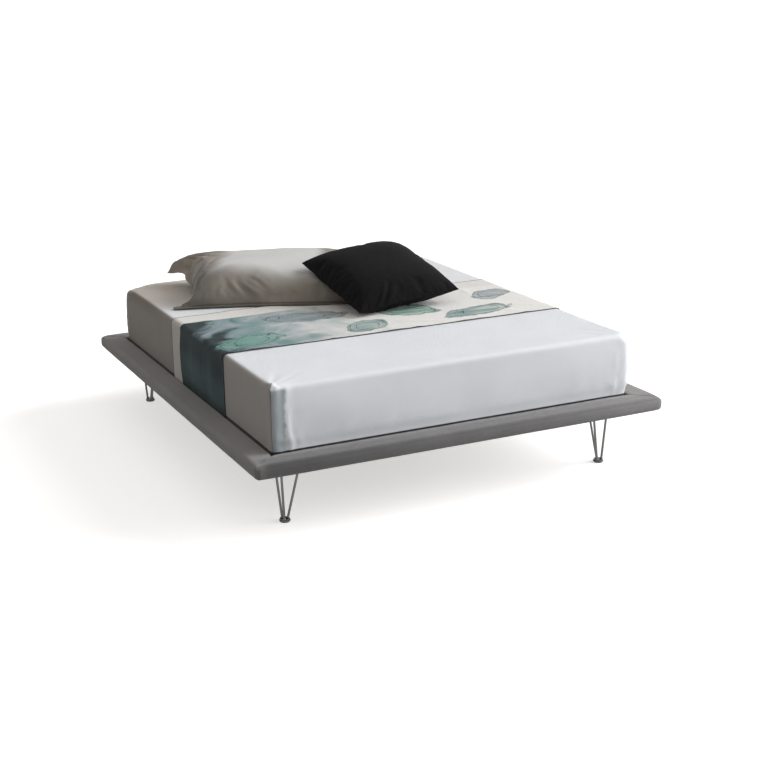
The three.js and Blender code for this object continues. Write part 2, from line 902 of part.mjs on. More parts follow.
function runnerFold(y, z, side) {
  if (!side) return 0;
  const low = rimTop - runnerTuck;
  const high = sheetTop - sheetEdgeRadius;
  const up = (z - low) / (high - low);
  const swell = Math.sin(2 * quarterTurn * up);
  const wave = 1 - Math.cos(4 * quarterTurn * runnerFoldCount * (y / runnerWidth));
  const ripple = 1 + Math.sin(2 * quarterTurn * runnerFoldCount * (y / runnerWidth));
  return swell * (runnerFoldDepth * wave / 2 + runnerRipple * ripple);
}

function buildRunner() {
  const skins = [runnerPath(touch), runnerPath(touch + runnerThickness)];
  const along = skins[0].length;
  const across = runnerColumns + 1;
  const points = [];
  for (const path of skins) {
    for (let j = 0; j < across; j += 1) {
      const y = runnerWidth * j / runnerColumns;
      for (const [x, z, side] of path) {
        const out = runnerFold(y, z, side);
        points.push(new THREE.Vector3(x + side * out, runnerCentre - runnerWidth / 2 + y, z));
      }
    }
  }
  const at = (skin, j, i) => (skin * across + j) * along + i;
  const index = [];
  const quad = (a, b, c, d) => index.push(a, b, c, a, c, d);
  for (let j = 0; j + 1 < across; j += 1) {
    for (let i = 0; i + 1 < along; i += 1) {
      quad(at(1, j, i), at(1, j, i + 1), at(1, j + 1, i + 1), at(1, j + 1, i));
      quad(at(0, j, i), at(0, j + 1, i), at(0, j + 1, i + 1), at(0, j, i + 1));
    }
  }
  for (let j = 0; j + 1 < across; j += 1) {
    const last = along - 1;
    quad(at(0, j, 0), at(1, j, 0), at(1, j + 1, 0), at(0, j + 1, 0));
    quad(at(0, j, last), at(0, j + 1, last), at(1, j + 1, last), at(1, j, last));
  }
  for (let i = 0; i + 1 < along; i += 1) {
    const last = across - 1;
    quad(at(0, 0, i), at(0, 0, i + 1), at(1, 0, i + 1), at(1, 0, i));
    quad(at(0, last, i), at(1, last, i), at(1, last, i + 1), at(0, last, i + 1));
  }
  place('runner', fromTriangles(points, index), runnerCloth);
}

// Filled pads: an upper and a lower skin over one plan, whose sides are drawn in between the
// corners, crowned in the middle, with a flat flange outside the seam where one is asked for

function spread(count, flange) {
  const values = [];
  if (flange) values.push([-1, -1]);
  for (let i = 0; i <= count; i += 1) {
    values.push([Math.sin(quarterTurn * (2 * i / count - 1)), 0]);
  }
  if (flange) values.push([1, 1]);
  return values;
}

function crown(u, v, [power, root]) {
  const a = 1 - Math.abs(u) ** power;
  const b = 1 - Math.abs(v) ** power;
  return Math.max(a * b, 0) ** root;
}

function pad(form) {
  const columns = spread(form.columns, form.flange);
  const rows = spread(form.rows, form.flange);
  const halfX = form.length / 2 - form.flange;
  const halfY = form.depth / 2 - form.flange;
  const points = [];
  for (const skin of [1, -1]) {
    for (const [v, outY] of rows) {
      for (const [u, outX] of columns) {
        const x = u * (halfX - form.endDrawIn * (1 - v * v)) + outX * form.flange;
        const y = v * (halfY - form.sideDrawIn * (1 - u * u)) + outY * form.flange;
        const full = crown(u, v, form.crown);
        const sag = form.sag(u, v) * (1 - full);
        const height = form.rise * full * form.fill(u, v);
        const upper = form.edge / 2 + height - form.crease(u, v) - sag;
        const lower = -form.edge / 2 - form.drop * Math.min(1, bellyShare * full) - sag;
        const floor = -form.edge / 2 - form.drop;
        points.push(new THREE.Vector3(x, y, skin > 0 ? upper : Math.max(lower, floor)));
      }
    }
  }
  const wide = columns.length;
  const deep = rows.length;
  const at = (skin, j, i) => (skin * deep + j) * wide + i;
  const index = [];
  const quad = (a, b, c, d) => index.push(a, b, c, a, c, d);
  for (let j = 0; j + 1 < deep; j += 1) {
    for (let i = 0; i + 1 < wide; i += 1) {
      quad(at(0, j, i), at(0, j, i + 1), at(0, j + 1, i + 1), at(0, j + 1, i));
      quad(at(1, j, i), at(1, j + 1, i), at(1, j + 1, i + 1), at(1, j, i + 1));
    }
    quad(at(0, j, 0), at(0, j + 1, 0), at(1, j + 1, 0), at(1, j, 0));
    quad(at(0, j, wide - 1), at(1, j, wide - 1), at(1, j + 1, wide - 1), at(0, j + 1, wide - 1));
  }
  for (let i = 0; i + 1 < wide; i += 1) {
    quad(at(0, 0, i), at(1, 0, i), at(1, 0, i + 1), at(0, 0, i + 1));
    quad(at(0, deep - 1, i), at(0, deep - 1, i + 1), at(1, deep - 1, i + 1), at(1, deep - 1, i));
  }
  return fromTriangles(points, index);
}

// Creases run from the ends of the pillow into its body
function pillowCrease(u, v) {
  const [start, end] = creaseReachShares;
  const reach = (Math.abs(u) - start) / (end - start);
  if (reach <= 0 || reach >= 1) return 0;
  const fade = Math.sin(2 * quarterTurn * reach) * crown(0, v, pillowCrownShares);
  return pillowCreaseDepth * fade * (1 - Math.cos(4 * 2 * quarterTurn * v)) / 2;
}

// The cushion presses the pillow down towards its near right corner
function pillowFill(u, v) {
  const [start, end] = pillowDentReachShares;
  return 1 - pillowDentShare * THREE.MathUtils.smoothstep(u - v, start, end);
}

// The front edge of the pillow falls almost to the bed, its rear edge stays at half its height
function pillowSag(u, v) {
  return (pillowDrop - pillowFrontLift) * ((1 - v) / 2) ** 2;
}

// The far corner of the cushion falls back behind its crown
function cushionSag(u, v) {
  return cushionCornerDroop * Math.max(0, (u + v) / 2) ** 2;
}

// A soft dent runs from the front corner of the cushion towards its middle
function cushionCrease(u, v) {
  const along = (u + v) / 2;
  const beside = (u - v) / 2;
  const reach = Math.max(0, -along) * Math.max(0, 1 + along) * 4;
  return cushionCreaseDepth * reach * Math.cos(2 * 2 * quarterTurn * beside) ** 2;
}

// Height that brings one surface down onto others, so that the least upright gap between
// them is the one asked for
function restHeight(upper, lowers, gap) {
  let least = Infinity;
  for (const lower of lowers) {
    least = Math.min(least, uprightGap(upper, lower, 1), uprightGap(lower, upper, -1));
  }
  return gap - least;
}

// Least upright distance from the points and edge middles of one surface to the triangles
// of another, counted from the other surface upwards, or downwards with side -1
function uprightGap(from, onto, side) {
  const probes = probePoints(from);
  const place = onto.attributes.position;
  const index = onto.index.array;
  const a = new THREE.Vector3();
  const b = new THREE.Vector3();
  const c = new THREE.Vector3();
  let least = Infinity;
  for (let i = 0; i < index.length; i += 3) {
    a.fromBufferAttribute(place, index[i]);
    b.fromBufferAttribute(place, index[i + 1]);
    c.fromBufferAttribute(place, index[i + 2]);
    const facing = (b.x - a.x) * (c.y - a.y) - (b.y - a.y) * (c.x - a.x);
    if (facing * side <= 0) continue;
    const lowX = Math.min(a.x, b.x, c.x);
    const highX = Math.max(a.x, b.x, c.x);
    const lowY = Math.min(a.y, b.y, c.y);
    const highY = Math.max(a.y, b.y, c.y);
    for (const p of probes) {
      if (p.x < lowX || p.x > highX || p.y < lowY || p.y > highY) continue;
      const wa = ((b.x - p.x) * (c.y - p.y) - (b.y - p.y) * (c.x - p.x)) / facing;
      const wb = ((c.x - p.x) * (a.y - p.y) - (c.y - p.y) * (a.x - p.x)) / facing;
      const wc = 1 - wa - wb;
      if (wa < 0 || wb < 0 || wc < 0) continue;
      least = Math.min(least, side * (p.z - (wa * a.z + wb * b.z + wc * c.z)));
    }
  }
  return least;
}

function probePoints(geometry) {
  const place = geometry.attributes.position;
  const index = geometry.index.array;
  const points = [];
  for (let i = 0; i < place.count; i += 1) {
    points.push(new THREE.Vector3().fromBufferAttribute(place, i));
  }
  const middles = [];
  for (let i = 0; i < index.length; i += 3) {
    for (let k = 0; k < 3; k += 1) {
      const from = index[i + k];
      const to = index[i + (k + 1) % 3];
      if (from < to) middles.push(points[from].clone().add(points[to]).multiplyScalar(0.5));
    }
  }
  return [...points, ...middles];
}

function buildPads() {
  const pillow = pad({
    length: pillowLength,
    depth: pillowDepth,
    rise: pillowRise,
    drop: pillowDrop,
    endDrawIn: pillowEndDrawIn,
    sideDrawIn: pillowSideDrawIn,
    flange: pillowFlange,
    edge: pillowEdge,
    columns: padColumns,
    rows: padRows,
    crease: pillowCrease,
    sag: pillowSag,
    crown: pillowCrownShares,
    fill: pillowFill,
  });
  pillow.rotateZ(pillowTurn);
  pillow.translate(pillowPlaceX, pillowPlaceY, runnerTop + touch + pillowDrop + pillowEdge / 2);
  place('pillow', pillow, pillowCloth);

  const cushion = pad({
    length: cushionSide,
    depth: cushionSide,
    rise: cushionRise,
    drop: cushionDrop,
    endDrawIn: cushionDrawIn,
    sideDrawIn: cushionDrawIn,
    flange: 0,
    edge: cushionEdge,
    columns: cushionCells,
    rows: cushionCells,
    crease: cushionCrease,
    sag: cushionSag,
    crown: cushionCrownShares,
    fill: () => 1,
  });
  cushion.rotateY(cushionTip).rotateX(cushionLean).rotateZ(cushionTurn);
  cushion.translate(cushionPlaceX, cushionPlaceY, 0);
  const bedTop = extrude([
    new THREE.Vector2(-sheetHalfX, -sheetHalfY),
    new THREE.Vector2(sheetHalfX, -sheetHalfY),
    new THREE.Vector2(sheetHalfX, sheetHalfY),
    new THREE.Vector2(-sheetHalfX, sheetHalfY),
  ], runnerThickness).translate(0, 0, runnerTop - runnerThickness);
  cushion.translate(0, 0, restHeight(cushion, [pillow, weld(bedTop)], restGap));
  place('cushion', cushion, cushionCloth);
}

buildRim();
buildLedgers();
buildCornerPlates();
buildCornerAngles();
buildLegs();
buildSlats();
buildBeam();
buildHangers();
buildMiddleLeg();
buildMattress();
buildSheet();
buildRunner();
buildPads();

export default bed;
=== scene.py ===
import math
import bmesh
import bpy
from mathutils import Matrix, Vector, noise
from mathutils.bvhtree import BVHTree


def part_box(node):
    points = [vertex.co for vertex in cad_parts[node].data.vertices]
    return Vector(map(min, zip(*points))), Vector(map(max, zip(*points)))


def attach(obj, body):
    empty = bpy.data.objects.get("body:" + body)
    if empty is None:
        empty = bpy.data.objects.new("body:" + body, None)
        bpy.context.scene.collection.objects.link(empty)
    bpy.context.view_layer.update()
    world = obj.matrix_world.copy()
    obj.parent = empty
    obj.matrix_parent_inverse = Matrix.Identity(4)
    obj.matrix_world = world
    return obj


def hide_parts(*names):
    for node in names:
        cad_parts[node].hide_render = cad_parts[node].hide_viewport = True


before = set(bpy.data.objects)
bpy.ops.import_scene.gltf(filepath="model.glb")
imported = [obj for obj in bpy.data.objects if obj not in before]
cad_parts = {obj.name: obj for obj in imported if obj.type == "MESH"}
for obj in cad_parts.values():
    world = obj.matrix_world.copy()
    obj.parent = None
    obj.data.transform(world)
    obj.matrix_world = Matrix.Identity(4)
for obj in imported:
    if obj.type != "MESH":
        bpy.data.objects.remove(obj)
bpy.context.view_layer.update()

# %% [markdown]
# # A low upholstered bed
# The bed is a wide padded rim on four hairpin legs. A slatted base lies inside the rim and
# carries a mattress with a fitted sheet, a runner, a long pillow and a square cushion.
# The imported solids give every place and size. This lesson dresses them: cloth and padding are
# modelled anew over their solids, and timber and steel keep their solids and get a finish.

bpy.ops.object.select_all(action="DESELECT")

# %% [markdown]
# ## Camera
# The bed was photographed from its left front corner, two metres up. The place, turn
# and focal length were found by lining the bed's edges up with the picture. The picture is a
# crop, so its optical middle lies left of its own middle, and a small lens shift says so.

# %% Camera
picture_side, optical_middle, focal_pixels = 765, 350.0, 1428.5
camera_place = Vector((-2.63, -5.757, 2.129))
heading, pitch, camera_roll = (math.radians(turn) for turn in (24.27, 16.73, -1.27))


def aim_camera():
    forward = Vector((
        math.sin(heading) * math.cos(pitch), math.cos(heading) * math.cos(pitch), -math.sin(pitch),
    ))
    right = Vector((math.cos(heading), -math.sin(heading), 0))
    level = Matrix((right, right.cross(forward), -forward)).transposed()
    turned = level @ Matrix.Rotation(camera_roll, 3, "Z")
    return Matrix.Translation(camera_place) @ turned.to_4x4()


bpy.ops.object.camera_add()
camera = bpy.context.object
camera.name = "camera"
camera.matrix_world = aim_camera()
camera.data.sensor_width = 36
camera.data.lens = focal_pixels / picture_side * camera.data.sensor_width
camera.data.shift_x = (picture_side / 2 - optical_middle) / picture_side
bpy.context.scene.camera = camera
print("lens", round(camera.data.lens, 1), "mm, shift", round(camera.data.shift_x, 3))

# %% [markdown]
# ## Shared sizes
# Sizes that several pieces share stand here, in metres, as half widths and levels. The rim is laid
# round an opening. The mattress lies in it with a small gap, its sheet is drawn close over it, and
# the runner crosses the sheet from its foot edge to its head edge.

# %% Shared sizes
half_opening, rim_width = Vector((0.810, 0.985)), 0.105
rim_low, rim_high = 0.258, 0.318
mattress_half = Vector((0.800, 0.975))
mattress_low, mattress_high = 0.28788, 0.57788
sheet_half = mattress_half + Vector((0.0023, 0.0023))
sheet_low, sheet_high = mattress_low + 0.005, 0.58018
runner_foot, runner_head, runner_width, strip_width = -0.457, 0.213, 0.670, 0.122
side_seam = mattress_half.y - mattress_half.x
print("mattress", *(round(2 * half, 3) for half in mattress_half), "m")

# %% [markdown]
# ## Node helpers
# A material is a small graph. A signal stands for what comes out of a socket, so a graph can be
# written as plain arithmetic: each sign adds one maths node. An input takes a number, a colour or
# a signal, and a grey may be a single number.

# %% Node helpers
class Signal:
    def __init__(self, socket):
        self.socket, self.tree = socket, socket.id_data

    def __add__(self, other):
        return maths("ADD", self, other)

    def __sub__(self, other):
        return maths("SUBTRACT", self, other)

    def __rsub__(self, other):
        return maths("SUBTRACT", other, self)

    def __mul__(self, other):
        return maths("MULTIPLY", self, other)

    def __abs__(self):
        return maths("ABSOLUTE", self)

    def ramp(self, low, high, new_low=0.0, new_high=1.0):
        names = ("Value", "From Min", "From Max", "To Min", "To Max")
        inputs = dict(zip(names, (self, low, high, new_low, new_high)))
        return signal(self.tree, "MapRange", "Result", inputs, interpolation_type="SMOOTHSTEP")


def feed(node, inputs):
    for name, value in inputs.items():
        socket = node.inputs[name]
        if isinstance(value, Signal):
            value.tree.links.new(value.socket, socket)
        elif socket.type == "RGBA":
            socket.default_value = (*(value if isinstance(value, tuple) else (value,) * 3), 1)
        else:
            socket.default_value = value


def add_node(tree, kind, inputs, **settings):
    node = tree.nodes.new(f"ShaderNode{kind}")
    for name, value in settings.items():
        setattr(node, name, value)
    feed(node, inputs)
    return node


def signal(tree, kind, output, inputs, **settings):
    return Signal(add_node(tree, kind, inputs, **settings).outputs[output])


def tree_of(values):
    return next(value.tree for value in values if isinstance(value, Signal))


def maths(operation, *values):
    return signal(tree_of(values), "Math", 0, dict(enumerate(values)), operation=operation)


def blend(factor, first, second, mode="MIX"):
    inputs = {0: factor, 6: first, 7: second}
    return signal(tree_of(inputs.values()), "Mix", 2, inputs, data_type="RGBA", blend_type=mode)


def dyed(colour, dye):
    return blend(1.0, colour, dye, "MULTIPLY")


def stain(mask, colour, dye):
    return blend(mask, colour, dyed(colour, dye))


def noise_at(vector, scale, detail=3.0, distortion=0.0, roughness=0.5):
    names = ("Vector", "Scale", "Detail", "Distortion", "Roughness")
    inputs = dict(zip(names, (vector, scale, detail, distortion, roughness)))
    return signal(vector.tree, "TexNoise", "Fac", inputs)


def stretched(vector, scale, turn=(0, 0, 0), shift=(0, 0, 0)):
    inputs = {"Vector": vector, "Scale": scale, "Rotation": turn, "Location": shift}
    return signal(vector.tree, "Mapping", "Vector", inputs)


def apart(vector):
    return [Signal(out) for out in add_node(vector.tree, "SeparateXYZ", {0: vector}).outputs]


def object_place(tree):
    return signal(tree, "TexCoord", "Object", {})


def bump(shader, height, distance, strength=1.0):
    inputs = {"Height": height, "Distance": distance, "Strength": strength}
    feed(shader, {"Normal": signal(height.tree, "Bump", "Normal", inputs)})


def new_material(name):
    material = bpy.data.materials.new(name)
    material.use_nodes = True
    tree = material.node_tree
    return material, tree, tree.nodes["Principled BSDF"]


def shader_group(name, inputs, outputs, recipe):
    group = bpy.data.node_groups.new(name, "ShaderNodeTree")
    for label, kind in inputs.items():
        group.interface.new_socket(label, in_out="INPUT", socket_type=f"NodeSocket{kind}")
    for label in outputs:
        group.interface.new_socket(label, in_out="OUTPUT", socket_type="NodeSocketFloat")
    start, end = group.nodes.new("NodeGroupInput"), group.nodes.new("NodeGroupOutput")
    results = recipe(*(Signal(start.outputs[label]) for label in inputs))
    feed(end, dict(zip(outputs, results)))
    print("shader group:", name, "gives", outputs)
    return group


def use_group(group, inputs):
    node = add_node(tree_of(inputs.values()), "Group", {}, node_tree=group)
    feed(node, inputs)
    return {out.name: Signal(out) for out in node.outputs}


# %% [markdown]
# ## Weave
# Every cloth here is a plain weave: warp and weft threads pass over and under each other.
# Two rows of waves across each other give the threads. Where one is high the other is low, and a
# checker decides which one lies on top. Noise makes some threads thicker or paler, as spun yarn
# is. The group gives the height of the cloth and a shade that varies from thread to thread.

# %% Shader group: weave
def weave_recipe(place, threads):
    x, y, _ = apart(place)
    run, rise = x * threads, y * threads
    warp, weft = (abs(maths("SINE", way * math.pi)) for way in (run, rise))
    steps = maths("FLOOR", run) + maths("FLOOR", rise)
    over = maths("MODULO", abs(steps), 2.0)
    first = noise_at(stretched(place, (60, 1400, 60)), 1.0, 2.0)
    second = noise_at(stretched(place, (1400, 60, 60)), 1.0, 2.0)
    return weft + over * (warp - weft), first * 0.5 + second * 0.5


weave = shader_group(
    "plain weave", {"Place": "Vector", "Threads per metre": "Float"}, ("Height", "Yarn"), weave_recipe,
)

# %% [markdown]
# ## Handling
# Cloth is never even. Washing and handling leave soft clouds and fine creases that are too small
# to model. This group gives both: a slow cloud for the colour, and a creased height for the bump.

# %% Shader group: handling
def handling_recipe(place, creases):
    fine = noise_at(place, creases, 5.0, 1.2, 0.6)
    return noise_at(place, 4.0, 4.0, 0.4), 1.0 - abs(fine - 0.5) * 4.0


handling = shader_group(
    "handling", {"Place": "Vector", "Creases per metre": "Float"}, ("Cloud", "Crease"), handling_recipe,
)

# %% [markdown]
# ## Timber
# A sawn board shows long grain lines that wander a little, with fine pores between them. The
# noise is stretched along the board by the material that uses the group.

# %% Shader group: timber grain
def grain_recipe(place):
    wander = noise_at(place, 2.0, 2.0)
    inputs = {0: place, "Scale": wander * 0.2 + 0.9}
    shifted = signal(place.tree, "VectorMath", 0, inputs, operation="SCALE")
    bands = maths("SINE", noise_at(shifted, 38.0, 3.0, 0.5) * 42.0)
    return bands * 0.5 + 0.5, noise_at(place, 900.0, 3.0)


grain = shader_group("timber grain", {"Place": "Vector"}, ("Ring", "Pore"), grain_recipe)

# %% [markdown]
# ## Plated and painted metal
# Plated rod is drawn through a die, so very fine lines run along it, and handling leaves faint
# smears that change its gloss. One group gives both to every metal of the bed.

# %% Shader group: metal surface
def metal_recipe(place):
    lines = stretched(place, (2600, 2600, 60))
    return noise_at(lines, 1.0, 2.0), noise_at(place, 30.0, 4.0, 0.8)


metal_surface = shader_group("metal surface", {"Place": "Vector"}, ("Line", "Smear"), metal_recipe)

# %% [markdown]
# ## Cloth finishes
# One recipe serves every cloth: the thread pattern, a little difference from yarn to yarn, slow
# clouds from handling, and a soft sheen at grazing angles as loose fibres give. What differs is the
# colour, the thread count, how strong the yarns differ and how creased the cloth is. A cloth may
# also be painted by where a point lies on the cloth or on the bed: printed, and given painted light
# and painted shade.

# %% Recipe for a cloth
def cloth_finish(
    name, dark, light, threads, yarn_share, crease_depth, creases, sheen, roughness,
    paint=None, gloss=0.3,
):
    material, tree, shader = new_material(name)
    place = signal(tree, "UVMap", "UV", {}, uv_map="cloth")
    body = object_place(tree)
    thread = use_group(weave, {"Place": place, "Threads per metre": threads})
    worn = use_group(handling, {"Place": body, "Creases per metre": creases})
    cloud, yarn = worn["Cloud"].ramp(0.3, 0.7), thread["Yarn"].ramp(0.3, 0.7)
    colour = blend(cloud * (1 - yarn_share) + yarn * yarn_share, dark, light)
    if paint:
        colour = paint(place, body, colour)
    feed(shader, {
        "Base Color": colour,
        "Roughness": thread["Height"].ramp(0.0, 1.0, roughness + 0.06, roughness - 0.06),
        "Specular IOR Level": gloss,
        "Sheen Weight": sheen,
        "Sheen Roughness": 0.5,
    })
    bump(shader, worn["Crease"] * crease_depth + thread["Height"] * (0.35 / threads), 1.0, 0.8)
    return material


# %% [markdown]
# Light and shade are painted into the rim's colour: painted shade low down, on the top of the foot
# rail and along the foot rail, growing towards its left end, and painted light towards the right.
# The outer roll is a little darker.

# %% Rim fabric
def paint_rim(place, body, plain):
    x, y, z = apart(body)
    out = maths("MAXIMUM", abs(x) - half_opening.x, abs(y) - half_opening.y)
    rolled_edge = out.ramp(0.050, 0.090) * z.ramp(0.278, 0.304)
    upper, lower = stain(rolled_edge, plain, 0.97), dyed(plain, (0.86, 0.86, 0.87))
    # painted shade: the rail darkens towards its underside
    colour = blend(z.ramp(0.292, 0.268), upper, lower)
    at_foot = y.ramp(-1.000, -1.030) * x.ramp(-0.905, -0.86)
    # painted shade along the foot rail, deepest at its left end
    colour = stain(at_foot * x.ramp(0.45, -0.9, 0.0, 0.86), colour, (0.42, 0.42, 0.43))
    # painted shade on the top of the foot rail beside the mattress
    colour = stain(at_foot * z.ramp(0.300, 0.3135), colour, (0.70, 0.70, 0.71))
    # painted light: the rim pales towards the right
    return stain(x.ramp(0.30, 0.92), colour, (1.40, 1.40, 1.41))


rim_fabric = cloth_finish(
    "rim fabric", (0.108, 0.105, 0.106), (0.232, 0.225, 0.227),
    620, 0.75, 0.0004, 9, 0.55, 0.85, paint_rim,
)
print("made", rim_fabric.name)

# %% [markdown]
# The sheet is white. Painted shade darkens its sides to taupe up to the corner seams, more towards
# the head. At the left foot corner a greyer band of painted shade with a wavering edge runs beside a
# painted shadow line along the seam. A faint warm shade is painted towards the head, the pillow's
# shadow is painted at the left of the head, and below the rim's top the sheet is painted near black
# for the shade in the gap between mattress and rim.

# %% Sheet cotton
def paint_sheet(place, body, plain):
    x, y, z = apart(body)
    past_seam = abs(x) - abs(y) + side_seam
    # painted shade: the sides are darkened to taupe, more towards the head
    beside = abs(x).ramp(0.785, 0.7995) * past_seam.ramp(-0.0005, 0.0005)
    side_shade = blend(y.ramp(-0.75, 0.45), (0.435, 0.392, 0.356), (0.305, 0.275, 0.248))
    colour = stain(beside, plain, side_shade)
    # painted shade: a greyer band beside the left foot corner's seam
    hanging = x.ramp(-0.70, -0.74) * y.ramp(-0.90, -0.95) * z.ramp(0.574, 0.562)
    wavy = noise_at(stretched(body, (1, 1, 3)), 9.0, 2.0)
    inward = past_seam + (wavy - 0.5) * 0.05
    corner_shade = inward.ramp(-0.072, -0.054) * past_seam.ramp(0.0015, -0.0005)
    colour = stain(corner_shade * hanging, colour, (0.54, 0.575, 0.585))
    # painted shadow line along the corner seam
    seam_shadow = abs(past_seam).ramp(0.0034, 0.0012, 0.0, 0.75)
    colour = blend(seam_shadow * hanging, colour, 0.10)
    # painted shade: a faint warm darkening towards the head
    colour = stain(y.ramp(-0.2, 0.9, 0.0, 0.6), colour, (0.97, 0.94, 0.88))
    # painted shadow of the pillow at the left of the head
    pillow_shadow = x.ramp(-0.10, -0.62) * y.ramp(0.26, 0.62) * z.ramp(0.50, 0.575)
    colour = stain(pillow_shadow, colour, (0.70, 0.645, 0.575))
    # painted shade: near black below the rim's top, in the gap between mattress and rim
    return blend(z.ramp(0.3235, 0.3215), colour, (0.035, 0.035, 0.038))


sheet_cotton = cloth_finish(
    "sheet cotton", (0.760, 0.788, 0.832), (0.800, 0.828, 0.872),
    1500, 0.3, 0.0005, 7, 0.1, 0.75, paint_sheet,
)
print("made", sheet_cotton.name)

# %% [markdown]
# The pillow is pale on top. Along its front and at its ends painted shade darkens it to a mottled
# taupe, and its front flange is painted darker still as shade. The cushion is painted darker on its
# left side as shade, away from the light on its right. The ticking and the piping are plain.

# %% Pillow, cushion and small cloths
def paint_pillow(place, body, plain):
    x, y, _ = apart(place)
    cloud = noise_at(place, 3.2, 3.0, 0.5)
    drift = (cloud - 0.5) * 0.22
    # painted shade: the front and both ends darken to a mottled taupe
    front, ends = (y + drift * 0.5).ramp(-0.12, -0.245), (abs(x) + drift).ramp(0.22, 0.33)
    taupe = blend(cloud.ramp(0.35, 0.65), (0.31, 0.290, 0.272), (0.46, 0.416, 0.370))
    pale, deep = dyed(plain, (0.97, 0.99, 1.02)), dyed(plain, taupe)
    colour = blend(maths("MAXIMUM", front, ends), pale, deep)
    # painted shade on the front flange
    return stain(y.ramp(-0.2610, -0.2660), colour, (0.40, 0.39, 0.38))


def paint_cushion(place, body, plain):
    drift = apart(place)[0] + (noise_at(place, 5.0, 3.0, 0.6) - 0.5) * 0.3
    # painted shade: darker on the left side, away from the light
    return blend(drift.ramp(-0.03, 0.19), dyed(plain, 0.40), plain)


pillow_cotton = cloth_finish(
    "pillow cotton", (0.55, 0.54, 0.52), (0.62, 0.61, 0.59),
    1400, 0.3, 0.0008, 11, 0.15, 0.7, paint_pillow,
)
cushion_cotton = cloth_finish(
    "cushion cotton", (0.0030, 0.0030, 0.0031), (0.0072, 0.0072, 0.0075),
    1000, 0.4, 0.0006, 12, 0.010, 0.85, paint_cushion, 0.1,
)
ticking = cloth_finish(
    "mattress ticking", (0.66, 0.64, 0.60), (0.80, 0.78, 0.74), 500, 0.5, 0.0006, 20, 0.1, 0.8,
)
piping_cloth = cloth_finish(
    "dark piping", (0.03, 0.032, 0.034), (0.055, 0.058, 0.06), 1400, 0.5, 0.0002, 20, 0.1, 0.75,
)
print("cloth finishes:", [m.name for m in bpy.data.materials])

# %% [markdown]
# ## The printed runner
# The runner carries a loose watercolour print. The motifs here are plain pebbles with broken ink
# rings, in teal, pale green and slate on ivory, laid out afresh. Each pebble is an ellipse with a
# wavering edge: its place is subtracted, it is turned and scaled, and the length of what is left
# says how far inside a point lies. Pigment gathers at a wet edge, so the rim is darker, and the
# ink lines follow steps of the same length.

# %% Shader group: brush stroke
def stroke_recipe(place, middle, turn, size):
    inputs = {"Vector": place, "Location": middle, "Rotation": turn, "Scale": size}
    moved = signal(place.tree, "Mapping", "Vector", inputs, vector_type="TEXTURE")
    reach = signal(place.tree, "VectorMath", "Value", {0: moved}, operation="LENGTH")
    edge = reach + noise_at(place, 9.0, 4.0, 0.6) * 0.9
    shifted = stretched(place, (1, 1, 1), (0, 0, 0), (0.31, 0.17, 0))
    other = edge + noise_at(shifted, 14.0, 3.0) * 0.16
    rings = abs(maths("FRACT", other * 3.3) - 0.5)
    broken = noise_at(place, 24.0, 2.0).ramp(0.36, 0.50)
    line = rings.ramp(0.075, 0.030) * broken * edge.ramp(1.52, 1.47) * edge.ramp(0.72, 0.80)
    return edge.ramp(1.44, 1.40), abs(edge - 1.38).ramp(0.10, 0.0), line


brush_stroke = shader_group(
    "brush stroke", dict.fromkeys(("Place", "Middle", "Turn", "Size"), "Vector"),
    ("Inside", "Rim", "Ink"), stroke_recipe,
)

# %% [markdown]
# The cloth's own map gives the place of a point: how far across the bed from its middle,
# and how far towards the head from the runner's foot edge. So the print runs over the edge of
# the mattress and down both sides without a break, as on a real length of cloth.

# %% Runner print
ivory, ink = (0.86, 0.85, 0.83), (0.015, 0.026, 0.028)
teal, slate, pale_green = (0.19, 0.31, 0.31), (0.27, 0.33, 0.37), (0.17, 0.36, 0.305)
mid_teal, deep_teal, deepest_teal = (0.115, 0.170, 0.182), (0.068, 0.100, 0.107), (0.011, 0.018, 0.020)
strokes = [
    ((-0.63, 0.13), 0.3, (0.170, 0.085), pale_green),
    ((-0.27, 0.40), -0.2, (0.210, 0.080), slate),
    ((-0.10, 0.12), 0.5, (0.130, 0.075), teal),
    ((0.17, 0.30), -0.5, (0.160, 0.100), pale_green),
    ((0.46, 0.13), 0.15, (0.190, 0.070), teal),
    ((0.66, 0.38), 0.6, (0.120, 0.075), slate),
    ((0.98, 0.22), 1.3, (0.170, 0.090), pale_green),
]


